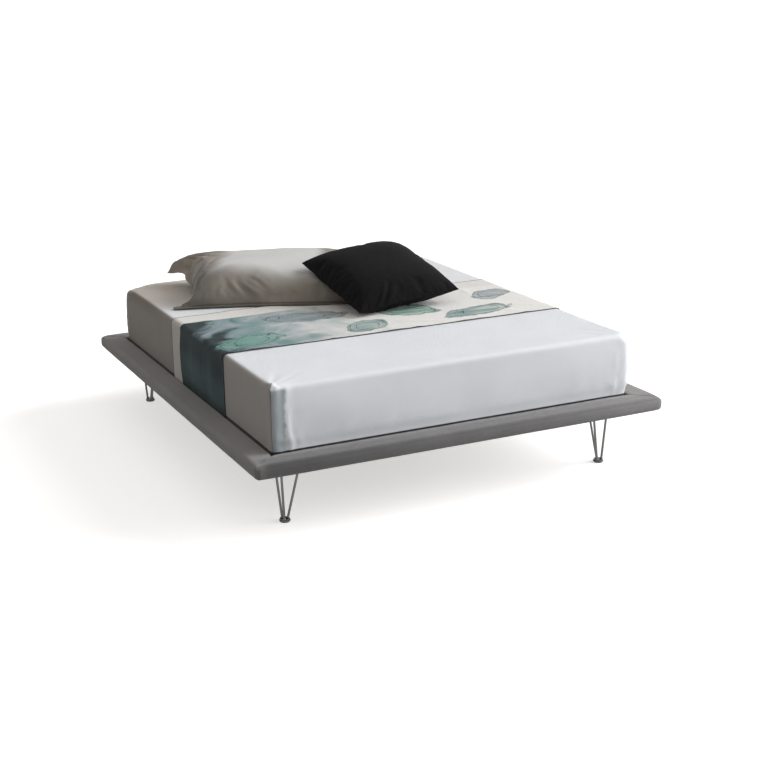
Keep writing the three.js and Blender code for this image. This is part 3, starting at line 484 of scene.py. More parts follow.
def paint_runner(place, body, plain):
    across, along, _ = apart(place)
    waver = noise_at(place, 4.0, 5.0, 1.2, 0.6)
    drift = across + (waver - 0.5) * 0.9
    colour = blend(drift.ramp(0.10, -0.66), ivory, blend(waver.ramp(0.35, 0.65), teal, slate))
    deep = maths("MAXIMUM", drift.ramp(-0.62, -0.82), across.ramp(-0.780, -0.815))
    # painted light: a paler band about two thirds down the left drop
    lit = across.ramp(-0.86, -0.96) * across.ramp(-1.06, -1.00)
    cloud = noise_at(place, 2.2, 4.0, 0.8).ramp(0.35, 0.68) * 0.40 + lit * 0.60
    colour = blend(deep, colour, blend(cloud, deepest_teal, deep_teal))
    for middle, turn, size, pigment in strokes:
        stroke = use_group(brush_stroke, {
            "Place": place, "Middle": (*middle, 0), "Turn": (0, 0, turn), "Size": (*size, 1),
        })
        streak = noise_at(stretched(place, (5, 22, 1), (0, 0, turn)), 1.0, 4.0, 0.6)
        colour = blend(stroke["Inside"] * streak.ramp(0.25, 0.72, 0.42, 0.95), colour, pigment)
        colour = blend(stroke["Rim"] * 0.35, colour, mid_teal)
        colour = blend(stroke["Ink"] * 0.95, colour, ink)
    strip_start = runner_width - strip_width
    strip, beside = along.ramp(strip_start - 0.001, strip_start + 0.001), abs(across).ramp(0.79, 0.80)
    # painted shade: the pale strip is darker where it hangs down the sides
    pale = blend(beside, blend(waver, ivory, (0.74, 0.71, 0.68)), (0.60, 0.575, 0.55))
    colour = blend(strip, colour, pale)
    return blend(0.35, colour, dyed(colour, plain))


runner_cotton = cloth_finish(
    "runner cotton", 0.86, 1.0, 1500, 0.4, 0.0012, 11, 0.02, 0.8, paint_runner, 0.12,
)
print("made", runner_cotton.name, "with", len(strokes), "strokes")

# %% [markdown]
# ## Hard finishes
# Timber is pale and matt, plywood is darker, steel is zinc plated, nickel plated, blackened or
# painted, and the glides and slat seats are moulded plastic with a fine grain.

# %% Recipes for timber, metal and plastic
along_x, along_y = (0.06, 1, 1), (1, 0.06, 1)


def timber_finish(name, dark, light, stretch):
    material, tree, shader = new_material(name)
    place = object_place(tree)
    lines = use_group(grain, {"Place": stretched(place, stretch)})
    cloud = noise_at(place, 3.0, 3.0).ramp(0.3, 0.7, 0.0, 0.35)
    colour = blend(cloud, blend(lines["Ring"], light, dark), dark)
    feed(shader, {"Base Color": colour, "Roughness": lines["Pore"].ramp(0.3, 0.7, 0.5, 0.68)})
    bump(shader, lines["Ring"] + lines["Pore"], 0.00015)
    return material


def metal_finish(name, colour, worn, roughness, metallic, turn=(0, 0, 0)):
    material, tree, shader = new_material(name)
    marks = use_group(metal_surface, {"Place": stretched(object_place(tree), (1, 1, 1), turn)})
    smear = marks["Smear"]
    feed(shader, {
        "Base Color": blend(smear, colour, worn),
        "Roughness": smear.ramp(0.3, 0.7, roughness, roughness + 0.14),
        "Metallic": metallic,
    })
    bump(shader, marks["Line"], 0.00003)
    return material


def plastic_finish(name, colour, pale):
    material, tree, shader = new_material(name)
    place = object_place(tree)
    cloud = noise_at(place, 14.0, 4.0)
    feed(shader, {
        "Base Color": blend(cloud.ramp(0.35, 0.75), colour, pale),
        "Roughness": cloud.ramp(0.3, 0.7, 0.48, 0.62),
    })
    bump(shader, noise_at(place, 1500.0, 2.0), 0.00012)
    return material


pine = (0.42, 0.26, 0.13), (0.62, 0.43, 0.24)
beech = (0.50, 0.33, 0.17), (0.68, 0.50, 0.30)
ply = (0.36, 0.24, 0.12), (0.52, 0.38, 0.21)
zinc = (0.42, 0.43, 0.44), (0.55, 0.56, 0.57)
finishes = {
    "timber along X": timber_finish("softwood along the bed's width", *pine, along_x),
    "timber along Y": timber_finish("softwood along the bed's length", *pine, along_y),
    "slat": timber_finish("planed slat", *beech, along_x),
    "plywood": timber_finish("plywood", *ply, along_x),
    "zinc": metal_finish("zinc plated steel", *zinc, 0.32, 0.9, (0, math.pi / 2, 0)),
    "nickel": metal_finish("dark nickel rod", 0.105, 0.155, 0.22, 1.0),
    "disc": metal_finish("blackened steel", (0.10, 0.10, 0.105), (0.15, 0.15, 0.155), 0.28, 0.95),
    "plastic": plastic_finish("moulded black plastic", (0.012, 0.012, 0.013), (0.03, 0.03, 0.032)),
    "paint": metal_finish("powder coat", (0.022, 0.022, 0.023), (0.035, 0.035, 0.036), 0.5, 0.0),
}
print("hard finishes:", sorted(finishes))

# %% [markdown]
# ## Timber and steel under the rim
# The cores, ledgers, plates, angles, slats, beam and hangers have the right shape as packed.
# Their solids stay as they are, and only the finish is laid on. The first entry whose name
# starts a node's name gives its finish.

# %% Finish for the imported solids
solid_finish = {
    "middle_beam": "timber along Y", "corner_plate": "plywood", "corner_angle": "zinc",
    "beam_hanger": "zinc", "slat_seats": "plastic", "slat_": "slat",
    "middle_leg_glide": "plastic", "middle_leg": "paint", "foot_glide": "plastic",
}
for side, run in (("left", "Y"), ("right", "Y"), ("head", "X"), ("foot", "X")):
    solid_finish[f"rim_core_{side}"] = solid_finish[f"ledger_{side}"] = f"timber along {run}"


def lay_on(piece, material):
    piece.data.materials.clear()
    piece.data.materials.append(material)


dressed = []
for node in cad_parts:
    start = next((key for key in solid_finish if node.startswith(key)), None)
    if start:
        lay_on(bpy.data.objects[node], finishes[solid_finish[start]])
        dressed.append(node)
print("solids with a finish:", len(dressed))

# %% [markdown]
# ## Modelling helpers
# New pieces start from a primitive and are shaped with the edit mode tools. Parts of a mesh are
# selected by where they lie. When a piece is done its place, turn and scale are applied, so that
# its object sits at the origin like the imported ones.

# %% Modelling helpers
corners = (("front_left", -1, -1), ("front_right", 1, -1), ("rear_right", 1, 1), ("rear_left", -1, 1))


def bell(distance, width):
    return math.exp(-((distance / width) ** 2))


def wobble(x, y, z):
    return noise.noise(Vector((x, y, z)))


def clamp(value, low=0, high=1):
    return max(low, min(high, value))


def leave_edit(piece):
    if bpy.context.mode != "OBJECT":
        bpy.ops.object.mode_set(mode="OBJECT")
    return piece


def only(piece):
    leave_edit(piece)
    bpy.ops.object.select_all(action="DESELECT")
    piece.select_set(True)
    bpy.context.view_layer.objects.active = piece


def started(name):
    piece = bpy.context.object
    piece.name = piece.data.name = name
    bpy.ops.object.transform_apply(location=True, rotation=True, scale=True)
    return piece


def choose(piece, kind, test):
    if bpy.context.mode != "EDIT_MESH":
        only(piece)
        bpy.ops.object.mode_set(mode="EDIT")
    bpy.ops.mesh.select_mode(type=kind)
    bpy.ops.mesh.select_all(action="DESELECT")
    mesh = bmesh.from_edit_mesh(piece.data)
    if kind == "EDGE":
        for part in mesh.edges:
            a, b = part.verts
            part.select_set(test((a.co + b.co) / 2, b.co - a.co))
    else:
        for part in mesh.faces:
            part.select_set(test(part.calc_center_median(), part.normal))
    mesh.select_flush_mode()
    bmesh.update_edit_mesh(piece.data)


def bevel(piece, offset, segments, test):
    choose(piece, "EDGE", test)
    bpy.ops.mesh.bevel(offset=offset, segments=segments, affect="EDGES")


def subdivide(piece, cuts, test):
    choose(piece, "EDGE", test)
    bpy.ops.mesh.subdivide(number_cuts=cuts)


def shade(piece, angle=None):
    only(piece)
    if angle:
        bpy.ops.object.shade_smooth_by_angle(angle=math.radians(angle))
    else:
        bpy.ops.object.shade_smooth()


def modify(piece, kind, **settings):
    modifier = piece.modifiers.new(kind.lower(), kind)
    for name, value in settings.items():
        setattr(modifier, name, value)
    only(piece)
    bpy.ops.object.modifier_apply(modifier=modifier.name)


def map_cloth(piece, place_of):
    layer = piece.data.uv_layers.new(name="cloth")
    piece.data.uv_layers.active = layer
    for face in piece.data.polygons:
        for corner in face.loop_indices:
            vertex = piece.data.vertices[piece.data.loops[corner].vertex_index]
            layer.data[corner].uv = place_of(vertex.co, face.normal, vertex.index)


def by_side(co, normal, index):
    if abs(normal.z) > max(abs(normal.x), abs(normal.y)):
        return co.x, co.y
    if abs(normal.x) > abs(normal.y):
        return co.y, co.z
    return co.x, co.z


def done(piece, material, body, nodes=()):
    lay_on(leave_edit(piece), material)
    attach(piece, body)
    if nodes:
        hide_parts(*nodes)
    print(piece.name, "faces:", len(piece.data.polygons))
    return piece


# %% [markdown]
# ## The padded rim
# Each rail is wrapped in thin foam and fabric, with the cloth turned under and stapled to the
# core below. The four wraps meet in mitre seams. A box gives the start: two cuts mark where the
# cloth ends inside and below, the open faces go, and the long edges are rounded. The rail is then
# cut into short steps. Its points are slid along it, which gives the ends their mitre and brings
# the steps closer together near the seams, where the cloth is drawn in.

# %% Shape of a rail's cover
rim_middle = (rim_low + rim_high) / 2
edge_round, inner_round, plan_round = 0.022, 0.008, 0.018
inner_lip, under_return = 0.026, 0.060
seam_gap, cover_thickness = 0.0006, 0.003
rail_steps = 96
outer_half = Vector((half_opening.x + rim_width, half_opening.y + rim_width))
rails = [
    (side, *(half_opening if side in ("right", "left") else half_opening.yx))
    for side in ("right", "head", "left", "foot")
]


def near(value, target, reach=0.0005):
    return abs(value - target) < reach


def crowded(share, amount):
    return share + amount / math.pi * math.sin(math.pi * share)


def cover_shape(across, along):
    inner, outer = across, across + rim_width
    bpy.ops.mesh.primitive_cube_add(
        size=1, location=(across + rim_width / 2, 0, rim_middle),
        scale=(rim_width, 2 * along, rim_high - rim_low),
    )
    rail = started("rim")
    for place, normal in (
        ((0, 0, rim_high - inner_lip), (0, 0, 1)), ((outer - under_return, 0, 0), (1, 0, 0)),
    ):
        choose(rail, "FACE", lambda middle, facing: True)
        bpy.ops.mesh.bisect(plane_co=place, plane_no=normal)
    choose(rail, "FACE", lambda middle, facing: (
        abs(facing.y) > 0.9
        or (facing.x < -0.9 and middle.z < rim_high - inner_lip)
        or (facing.z < -0.9 and middle.x < outer - under_return)
    ))
    bpy.ops.mesh.delete(type="FACE")
    bevel(rail, edge_round, 8, lambda middle, run: (
        abs(run.y) > along and near(middle.x, outer)
        and abs(middle.z - rim_middle) > rim_high - rim_middle - 0.001
    ))
    bevel(rail, inner_round, 4, lambda middle, run: (
        abs(run.y) > along and near(middle.x, inner) and near(middle.z, rim_high)
    ))
    subdivide(rail, 4, lambda middle, run: (
        near(middle.z, rim_high) and abs(run.x) > 0.05 or near(middle.z, rim_low) and abs(run.x) > 0.02
    ))
    subdivide(rail, rail_steps - 1, lambda middle, run: abs(run.y) > along)
    return leave_edit(rail)


def shape_rail(rail, across, along):
    for vertex in rail.data.vertices:
        co = vertex.co
        out = co.x - across
        reach = along + out - seam_gap / 2
        co.y = crowded(co.y / along, 0.72) * reach
        to_seam = reach - abs(co.y)
        uneven = wobble(out * 18, co.y * 7, co.z * 18 + 7 * across) * 0.0009
        lift = 0.0012 * (1 - bell(to_seam, 0.06)) + uneven - 0.0034 * bell(to_seam, 0.011)
        level = clamp((co.z - rim_middle) / 0.03, -1)
        if co.z > rim_high - inner_round:
            co.z += lift * max(0, level)
        elif co.z < rim_low + edge_round and out > rim_width - under_return:
            co.z -= max(lift, 0) * max(0, -level) * 0.4
        if out > rim_width - edge_round:
            co.x += lift * clamp((out - rim_width + edge_round) / edge_round)


def round_corner(x, y, half, radius):
    dx, dy = abs(x) - (half.x - radius), abs(y) - (half.y - radius)
    if dx > 0 and dy > 0:
        pull = max(dx, dy) / math.hypot(dx, dy)
        x = math.copysign(half.x - radius + dx * pull, x)
        y = math.copysign(half.y - radius + dy * pull, y)
    return x, y


def turn_mesh(piece, quarter):
    piece.data.transform(Matrix.Rotation(quarter * math.pi / 2, 4, "Z"))


# %% [markdown]
# A cover is shaped at the right side and turned to its own. Its outer corners are rounded in plan.

# %% The four covers
for quarter, (side, across, along) in enumerate(rails):
    rail = cover_shape(across, along)
    shape_rail(rail, across, along)
    turn_mesh(rail, quarter)
    for vertex in rail.data.vertices:
        vertex.co.xy = round_corner(vertex.co.x, vertex.co.y, outer_half, plan_round)
    modify(rail, "SOLIDIFY", thickness=cover_thickness, offset=-1.0)
    rail.name = rail.data.name = f"rim_cloth_{side}"
    map_cloth(rail, by_side)
    shade(rail, 50)
    done(rail, rim_fabric, "bed_frame", [f"rim_cover_{side}"])

# %% [markdown]
# ## Staples
# Under the rim the cloth is turned in and stapled to the core. A staple is a wire bridge, so
# a small box is enough, with its lower ends bevelled. It is modelled once and repeated along the
# four rails as one piece.

# %% Staples under the cloth's edge
staple_pitch, staple_margin = 0.055, 0.03
staple_size = Vector((0.010, 0.0011, 0.0009))


def build_staples():
    bpy.ops.mesh.primitive_cube_add(size=1, location=(0, 0, 0), scale=staple_size)
    seed = started("staple")
    bevel(seed, 0.0004, 2, lambda middle, run: middle.z < 0 and abs(run.y) > 0.0005)
    leave_edit(seed)
    row = bmesh.new()
    for quarter, (_, across, along) in enumerate(rails):
        x = across + rim_width - under_return + 0.011
        for i in range(int(2 * (along - staple_margin) / staple_pitch) + 1):
            spot = Matrix.Translation((x, -along + staple_margin + i * staple_pitch, rim_low - 0.0008))
            lean = Matrix.Rotation(math.radians(70 + 25 * math.sin(i * 1.7)), 4, "Z")
            copy = seed.data.copy()
            copy.transform(Matrix.Rotation(quarter * math.pi / 2, 4, "Z") @ spot @ lean)
            row.from_mesh(copy)
            bpy.data.meshes.remove(copy)
    row.to_mesh(seed.data)
    row.free()
    seed.name = seed.data.name = "rim_staples"
    return seed


done(build_staples(), finishes["zinc"], "bed_frame")

# %% [markdown]
# ## Hairpin legs
# A leg is a flat plate, three drawn rods that lean in towards the floor, a weld at each end of a
# rod and a washer. One leg is modelled about its foot, then copied and turned a quarter for
# each corner. A rod is a cylinder laid between two points; its weld is a short cone with a rolled
# edge. The plate is a cylinder with three sides: its corners are drawn out round the rods, which
# stand closer at the back than ahead, and each is rounded by its own bevel.

# %% Parts of a leg
leg_inset = Vector((0.184, 0.195))
rod_radius, rod_foot_ring = 0.005, 0.013
rod_tops = [Vector((0.074, 0.009)), Vector((-0.018, 0.042)), Vector((-0.018, -0.024))]
plate_top, plate_thickness, plate_margin = 0.2294, 0.004, 0.017
washer_low, washer_thickness, washer_radius = 0.009, 0.005, 0.020
disc_low, disc_thickness, disc_radius = 0.0027, 0.006, 0.0225
weld_width, weld_height = 0.002, 0.004
third_turn = 2 * math.pi / 3


def cylinder(name, vertices, radius, depth, place, turn=(0, 0, 0)):
    bpy.ops.mesh.primitive_cylinder_add(
        vertices=vertices, radius=radius, depth=depth, location=place, rotation=turn,
    )
    return started(name)


def lay_between(low, high):
    run = high - low
    turn = Vector((0, 0, 1)).rotation_difference(run.normalized())
    return run.length, (low + high) / 2, turn.to_euler()


def weld_piece(seat, away):
    length, middle, turn = lay_between(seat, seat + (away - seat).normalized() * weld_height)
    bpy.ops.mesh.primitive_cone_add(
        vertices=20, radius1=rod_radius + weld_width, radius2=rod_radius * 1.02,
        depth=length, location=middle, rotation=turn,
    )
    bead = started("weld")
    reach = rod_radius + weld_width + 0.0006
    bevel(bead, 0.0009, 3, lambda centre, run: (centre - seat).length < reach)
    leave_edit(bead)
    for vertex in bead.data.vertices:
        vertex.co += (vertex.co - seat).normalized() * (noise.noise(vertex.co * 700) * 0.0003)
    return bead


def plate_corner(third):
    here, before, after = rod_tops[third], rod_tops[third - 1], rod_tops[(third + 1) % 3]
    back, ahead = (before - here).normalized(), (after - here).normalized()
    half = back.angle(ahead) / 2
    spot = here - (back + ahead).normalized() * plate_margin / math.sin(half)
    return spot, plate_margin / math.tan(half)


def plate_piece():
    middle = (0, 0, plate_top - plate_thickness / 2)
    plate = cylinder("plate", 3, 0.1, plate_thickness, middle, (0, 0, -math.pi / 2))
    for vertex in plate.data.vertices:
        third = round(math.atan2(vertex.co.y, vertex.co.x) / third_turn) % 3
        vertex.co.xy = plate_corner(third)[0]
    for third in range(3):
        spot, offset = plate_corner(third)
        bevel(plate, offset, 10, lambda centre, run: (
            abs(run.z) > plate_thickness / 2 and (centre.xy - spot).length < 1e-4
        ))
    bevel(plate, 0.0005, 2, lambda centre, run: abs(run.z) < 1e-6)
    return leave_edit(plate)


def rolled_disc(name, vertices, radius, thickness, low, offset, segments):
    disc = cylinder(name, vertices, radius, thickness, (0, 0, low + thickness / 2))
    bevel(disc, offset, segments, lambda centre, run: (
        abs(run.z) < 1e-6 and centre.xy.length > radius * 0.9
    ))
    return disc


def join_pieces(pieces, name):
    only(pieces[0])
    for piece in pieces:
        piece.select_set(True)
    bpy.ops.object.join()
    joined = bpy.context.object
    joined.name = joined.data.name = name
    shade(joined, 40)
    return joined


# %% [markdown]
# Whatever stands at the corners is copied to all four by one function, leg, disc and screws alike.

# %% One leg, then four
def build_leg():
    washer = rolled_disc("washer", 48, washer_radius, washer_thickness, washer_low, 0.0006, 3)
    parts = [leave_edit(washer), plate_piece()]
    parts.reverse()
    for number, top in enumerate(rod_tops):
        angle = number * third_turn
        foot = Vector((math.cos(angle), math.sin(angle))) * rod_foot_ring
        high = Vector((*top, plate_top - plate_thickness))
        low = Vector((*foot, washer_low + washer_thickness))
        run = (high - low).normalized() * 0.001
        parts.append(cylinder("rod", 20, rod_radius, *lay_between(low - run, high + run)))
        parts += [weld_piece(low, high), weld_piece(high, low)]
    return join_pieces(parts, "leg")


def spread_to_corners(seed, label, material, node_start):
    for quarter, (corner, sx, sy) in enumerate(corners):
        copy = seed.copy()
        copy.data = seed.data.copy()
        bpy.context.collection.objects.link(copy)
        copy.name = copy.data.name = f"{label}_{corner}"
        turn_mesh(copy, quarter)
        foot = (sx * (outer_half.x - leg_inset.x), sy * (outer_half.y - leg_inset.y), 0)
        copy.data.transform(Matrix.Translation(foot))
        done(copy, material, "bed_frame", [f"{node_start}_{corner}"] if node_start else [])
    bpy.data.objects.remove(seed)


spread_to_corners(build_leg(), "hairpin_leg", finishes["nickel"], "leg")

# %% [markdown]
# ## Foot discs
# The disc under each leg is a turned steel pad. Its edges are rolled, and a ring is inset on both
# faces.

# %% Foot discs
def build_disc():
    disc = rolled_disc("disc", 64, disc_radius, disc_thickness, disc_low, 0.0016, 4)
    choose(disc, "FACE", lambda centre, facing: abs(facing.z) > 0.9 and centre.xy.length < 0.001)
    bpy.ops.mesh.inset(thickness=0.0012)
    shade(disc, 40)
    return disc


spread_to_corners(build_disc(), "turned_disc", finishes["disc"], "foot_disc")

# %% [markdown]
# ## Screws
# Three pan head screws hold each leg plate. A head is a low dome with a round socket: a
# cylinder whose lower edge is rolled, with a smaller hole drawn in.

# %% Leg screws
screw_radius, screw_rise = 0.0062, 0.0034


def build_leg_screws():
    parts = []
    level = plate_top - plate_thickness - screw_rise / 2
    for third in range(3):
        x, y = (rod_tops[third] + rod_tops[(third + 1) % 3]) / 2
        head = cylinder("screw", 24, screw_radius, screw_rise, (x, y, level))
        bevel(head, 0.0014, 4, lambda c, run: abs(run.z) < 1e-6 and c.z < level and run.length < 0.003)
        choose(head, "FACE", lambda c, facing: facing.z < -0.9 and abs(c.x - x) < 1e-4)
        bpy.ops.mesh.inset(thickness=0.0018)
        bpy.ops.mesh.extrude_region_move(TRANSFORM_OT_translate={"value": (0, 0, 0.0018)})
        parts.append(leave_edit(head))
    return join_pieces(parts, "screws")


spread_to_corners(build_leg_screws(), "leg_screws", finishes["zinc"], None)

# %% [markdown]
# ## Soft boxes
# The mattress and its sheet are both boxes with rounded corners and rolled edges. A cube is cut
# into small squares that crowd towards its edges, and every point near an edge is moved onto the
# round. The small squares matter, because ears, pleats and the hem's folds are laid on afterwards.

# %% Soft box
sheet_corner, sheet_roll, sheet_thickness = 0.0483, 0.0190, 0.0018


def cut_box(name, half, low, high, cell, open_below):
    middle, reach = (low + high) / 2, (high - low) / 2
    size = (2 * half.x, 2 * half.y, high - low)
    bpy.ops.mesh.primitive_cube_add(size=1, location=(0, 0, middle), scale=size)
    box = started(name)
    if open_below:
        choose(box, "FACE", lambda centre, facing: facing.z < -0.9)
        bpy.ops.mesh.delete(type="FACE")
    for axis, length in enumerate(size):
        subdivide(box, int(length / cell), lambda centre, run: abs(run[axis]) > 0.9 * run.length)
    leave_edit(box)
    for vertex in box.data.vertices:
        x, y, z = vertex.co
        vertex.co = (
            half.x * crowded(x / half.x, 0.5), half.y * crowded(y / half.y, 0.5),
            middle + reach * crowded((z - middle) / reach, 0.45),
        )
    return box


def rolled(x, y, z, half, edge, roll, side):
    inset = min(half.x - abs(x), half.y - abs(y))
    out, rise = roll - inset, roll - side * (edge - z)
    if out <= 0 or rise <= 0:
        return x, y, z
    length = math.hypot(out, rise)
    new_inset = roll - out * roll / length
    x *= (half.x - new_inset) / (half.x - inset)
    y *= (half.y - new_inset) / (half.y - inset)
    return x, y, edge - side * (roll - rise * roll / length)


def round_box(box, half, low, high, corner, roll, roll_below):
    for vertex in box.data.vertices:
        x, y, z = rolled(*vertex.co, half, high, roll, 1)
        if roll_below:
            x, y, z = rolled(x, y, z, half, low, roll, -1)
        vertex.co = *round_corner(x, y, half, corner), z
    box.data.update()


# %% [markdown]
# ## Mattress
# Under the sheet lies a pocket sprung mattress. Its two faces are quilted in diamonds, puffed
# between the lines of stitching, and its sides are drawn in a little between the rolled edges.
# The two corners at the head are worn soft, so they sink.

# %% Mattress
quilt_diamond = 0.095


def smooth(value, low, high):
    share = clamp((value - low) / (high - low), 0.0, 1.0)
    return share * share * (3 - 2 * share)


def soft_head(spot):
    away = math.hypot(abs(spot.x) - mattress_half.x, spot.y - mattress_half.y)
    return 0.022 * bell(away, 0.085) * smooth(spot.z, mattress_low + 0.10, mattress_high)


def build_mattress():
    box = (mattress_half, mattress_low, mattress_high)
    body = cut_box("mattress_body", *box, 0.018, False)
    round_box(body, *box, 0.046, 0.017, True)
    middle = (mattress_low + mattress_high) / 2
    for vertex in body.data.vertices:
        co = vertex.co
        edge = min(mattress_half.x - abs(co.x), mattress_half.y - abs(co.y))
        flat = clamp((edge - 0.03) / 0.04)
        seams = (abs(math.sin(math.pi * way / quilt_diamond / 2)) for way in (co.x + co.y, co.x - co.y))
        if edge > 0.02:
            co.z -= math.copysign(0.004 * flat * (1 - min(seams) ** 0.5), co.z - middle)
        else:
            level = abs(co.z - middle) / (mattress_high - middle)
            shrink = 1 - 0.003 * math.sin(math.pi * min(1, level / 0.8)) / 0.8
            co.x *= shrink
            co.y *= shrink
        co.z -= soft_head(co)
    map_cloth(body, by_side)
    shade(body)
    done(body, ticking, "mattress_set", ["mattress"])


build_mattress()

# %% [markdown]
# ## Fitted sheet
# A fitted sheet is cut with a square out of each corner, sewn into a box and drawn tight by
# elastic under its hem. It is smooth on top and pulls in fine rays from its corners. Its ends
# hang slack, with drags that slant up from the hem, and beside each corner the spare cloth
# lies in an upright tuck. The corner seams stand up as small crumpled ears. Each of these is a
# push along the surface, added up point by point. Where the runner lies on it the sheet is
# pressed flat.

# %% Pushes that shape the sheet
corner_slack = {(-1, -1): 1.0, (1, -1): 0.25, (1, 1): 0.4, (-1, 1): 0.3}
ear_size = {(-1, -1): 1.0, (1, -1): 0.12, (1, 1): 0.1, (-1, 1): 0.1}


def which_corner(x, y):
    return 1 if x > 0 else -1, 1 if y > 0 else -1


def ridge(x, y, z, sharp):
    return (1 - min(1.0, abs(wobble(x, y, z)) * 2.2)) ** sharp


def under_runner(y):
    past_foot = smooth(y, runner_foot - 0.03, runner_foot + 0.01)
    return past_foot * (1 - smooth(y, runner_head - 0.01, runner_head + 0.03))


def top_push(x, y):
    rays = 0.0
    for _, sx, sy in corners:
        away = Vector((x - sx * sheet_half.x, y - sy * sheet_half.y))
        turn = math.atan2(away.y, away.x)
        fan = math.cos(turn * 15 + 3 * wobble(turn * 3, sx, sy))
        rays += fan * 0.0020 * bell(away.length, 0.16) * smooth(away.length, 0.01, 0.06)
    crumple = ridge(x * 7 + y * 2, y * 8 - x * 3, 1.0, 3) * 0.0007
    return max(0.0, 0.0012 + wobble(x * 2.6, y * 2.1, 3.0) * 0.0016 + crumple + rays)


def hang_at(z):
    height = clamp((z - sheet_low) / (sheet_high - sheet_low))
    return math.sin(math.pi * height) * smooth(z, rim_high - 0.004, rim_high + 0.05)


def end_push(x, z, end):
    wave = (1 - math.cos(8 * math.pi * (x / 1.6 + 0.5) + 1.4 * wobble(x * 2, z * 3, end))) / 2
    slack = (0.4 + wobble(x * 3.2 + 2 * z, z * 5, end * 5.0)) * 0.0026
    drag = ridge((x * 0.7 + z * 0.7) * 2.2, (z * 0.7 - x * 0.7) * 9, end * 3.0, 3) * 0.0034
    low = 1 - smooth(z, sheet_low + 0.04, sheet_low + 0.17)
    belly = 0.0105 * (0.70 + 1.1 * wobble(x * 1.3 + 0.4, z * 1.4, end * 7.0))
    return max(0.0, hang_at(z) * (0.0020 * wave + slack + belly + drag * (0.25 + low)) + 0.0003)


def side_push(y, z, side):
    slack = wobble(y * 5, z * 3, side * 4.0 + 9) * 0.0018
    beside_runner = bell(y - runner_head - 0.10, 0.16) + bell(y - runner_foot + 0.10, 0.16)
    crease = ridge(y * 15, z * 2.0, side * 2.0, 3) * (0.0010 + 0.0016 * beside_runner)
    return max(0.0, hang_at(z) * (0.0012 + slack + crease))


def corner_run(x, y):
    dx, dy = abs(x) - (sheet_half.x - sheet_corner), abs(y) - (sheet_half.y - sheet_corner)
    if dx > 0 and dy > 0:
        return (math.atan2(dy, dx) - math.pi / 4) * sheet_corner
    quarter = sheet_corner * math.pi / 4
    return dy - quarter if dx > 0 else quarter - dx


def corner_push(x, y, z):
    run = corner_run(x, y)
    if abs(run) > 0.16:
        return 0.0
    height = (sheet_high - z) / (sheet_high - sheet_low)
    sway = 0.012 * wobble(z * 8, x, y * 2) + 0.006 * math.sin(z * 17 + x * 3 + y)
    force = 0.75 + 0.9 * wobble(z * 13, x * 2, y)
    tuck = bell(run - 0.056 - sway, 0.009) * 0.0044 * force - bell(run - 0.036 - sway, 0.008) * 0.0016
    full = bell(run, 0.021) * 0.0125 * smooth(height, 0.0, 0.12)
    bunch = ridge(run * 26, z * 16 + run * 9, x + y, 2) * 0.0020 * bell(run, 0.10)
    low_bunch = ridge(run * 20 + z * 14, z * 20 - run * 14, x * 2 + y, 2) * 0.0056
    low_bunch *= bell(run, 0.09) * smooth(height, 0.55, 0.75)
    grip = smooth(height, 0.0, 0.06) * (1 - 0.8 * smooth(height, 0.86, 0.96))
    loose = corner_slack[which_corner(x, y)]
    push = tuck * loose + bell(run, 0.0045) * 0.0016 + bunch + low_bunch
    return push * grip + full * (1 if y < 0 else 0.3)


def hem_push(x, y, z):
    low = 1 - smooth(z, sheet_low, sheet_low + 0.022)
    return 0.0010 * low * (0.5 + 0.5 * math.sin(210 * (x + y) + 3 * wobble(x * 9, y * 9, 0)))


def ear(x, y, z):
    away = math.hypot(abs(x) - sheet_half.x + 0.014, abs(y) - sheet_half.y + 0.014)
    top = smooth(z, sheet_high - 0.050, sheet_high - 0.008)
    lift = 0.0035 * bell(away, 0.065) * (1 + wobble(x * 38, y * 38, z * 38))
    tip = 0.0105 * bell(away, 0.023) * max(0.0, 1 + 1.6 * wobble(x * 80, y * 80, z * 80))
    return (tip + max(0.0, lift)) * top * ear_size[which_corner(x, y)]


# %% [markdown]
# The pushes are weighed by which way the surface faces. The sheet was cut as its top and a drop on
# every side.

# %% Fitted sheet
def build_sheet():
    cloth = cut_box("sheet_cloth", sheet_half, sheet_low, sheet_high, 0.0118, True)
    round_box(cloth, sheet_half, sheet_low, sheet_high, sheet_corner, sheet_roll, False)
    map_cloth(cloth, by_side)
    facing = [v.normal.copy() for v in cloth.data.vertices]
    for vertex, normal in zip(cloth.data.vertices, facing):
        x, y, z = vertex.co
        up = max(0.0, normal.z)
        aside = 1 - up
        clear = 1 - under_runner(y) * (0.85 if up > 0.5 else 0.75)
        ends, sides = (aside * smooth(abs(part), 0.3, 0.9) for part in (normal.y, normal.x))
        push = clear * up * top_push(x, y)
        push += ends * end_push(x, z, math.copysign(1, y))
        push += clear * sides * side_push(y, z, math.copysign(1, x))
        push += aside * corner_push(x, y, z) + aside * clear * hem_push(x, y, z)
        outward = Vector((math.copysign(0.45, x), math.copysign(0.45, y), 0.8))
        vertex.co += normal * push + outward * ear(x, y, z) - Vector((0, 0, soft_head(vertex.co)))
    modify(cloth, "SOLIDIFY", thickness=sheet_thickness, offset=-1.0)
    shade(cloth)
    return done(cloth, sheet_cotton, "mattress_set", ["fitted_sheet"])


sheet_cloth = build_sheet()
side_drop = sheet_high - sheet_low

# %% [markdown]
# ## Runner
# The runner is one strip of cloth laid over the bed. It starts as a flat grid with the size that
# the cloth was cut to. Every point is then laid along the path over the mattress: flat on top, round
# the edge and down the side, with its ends tucked behind the rim. Slack gives it a few
# long ripples on top and upright folds where it hangs.

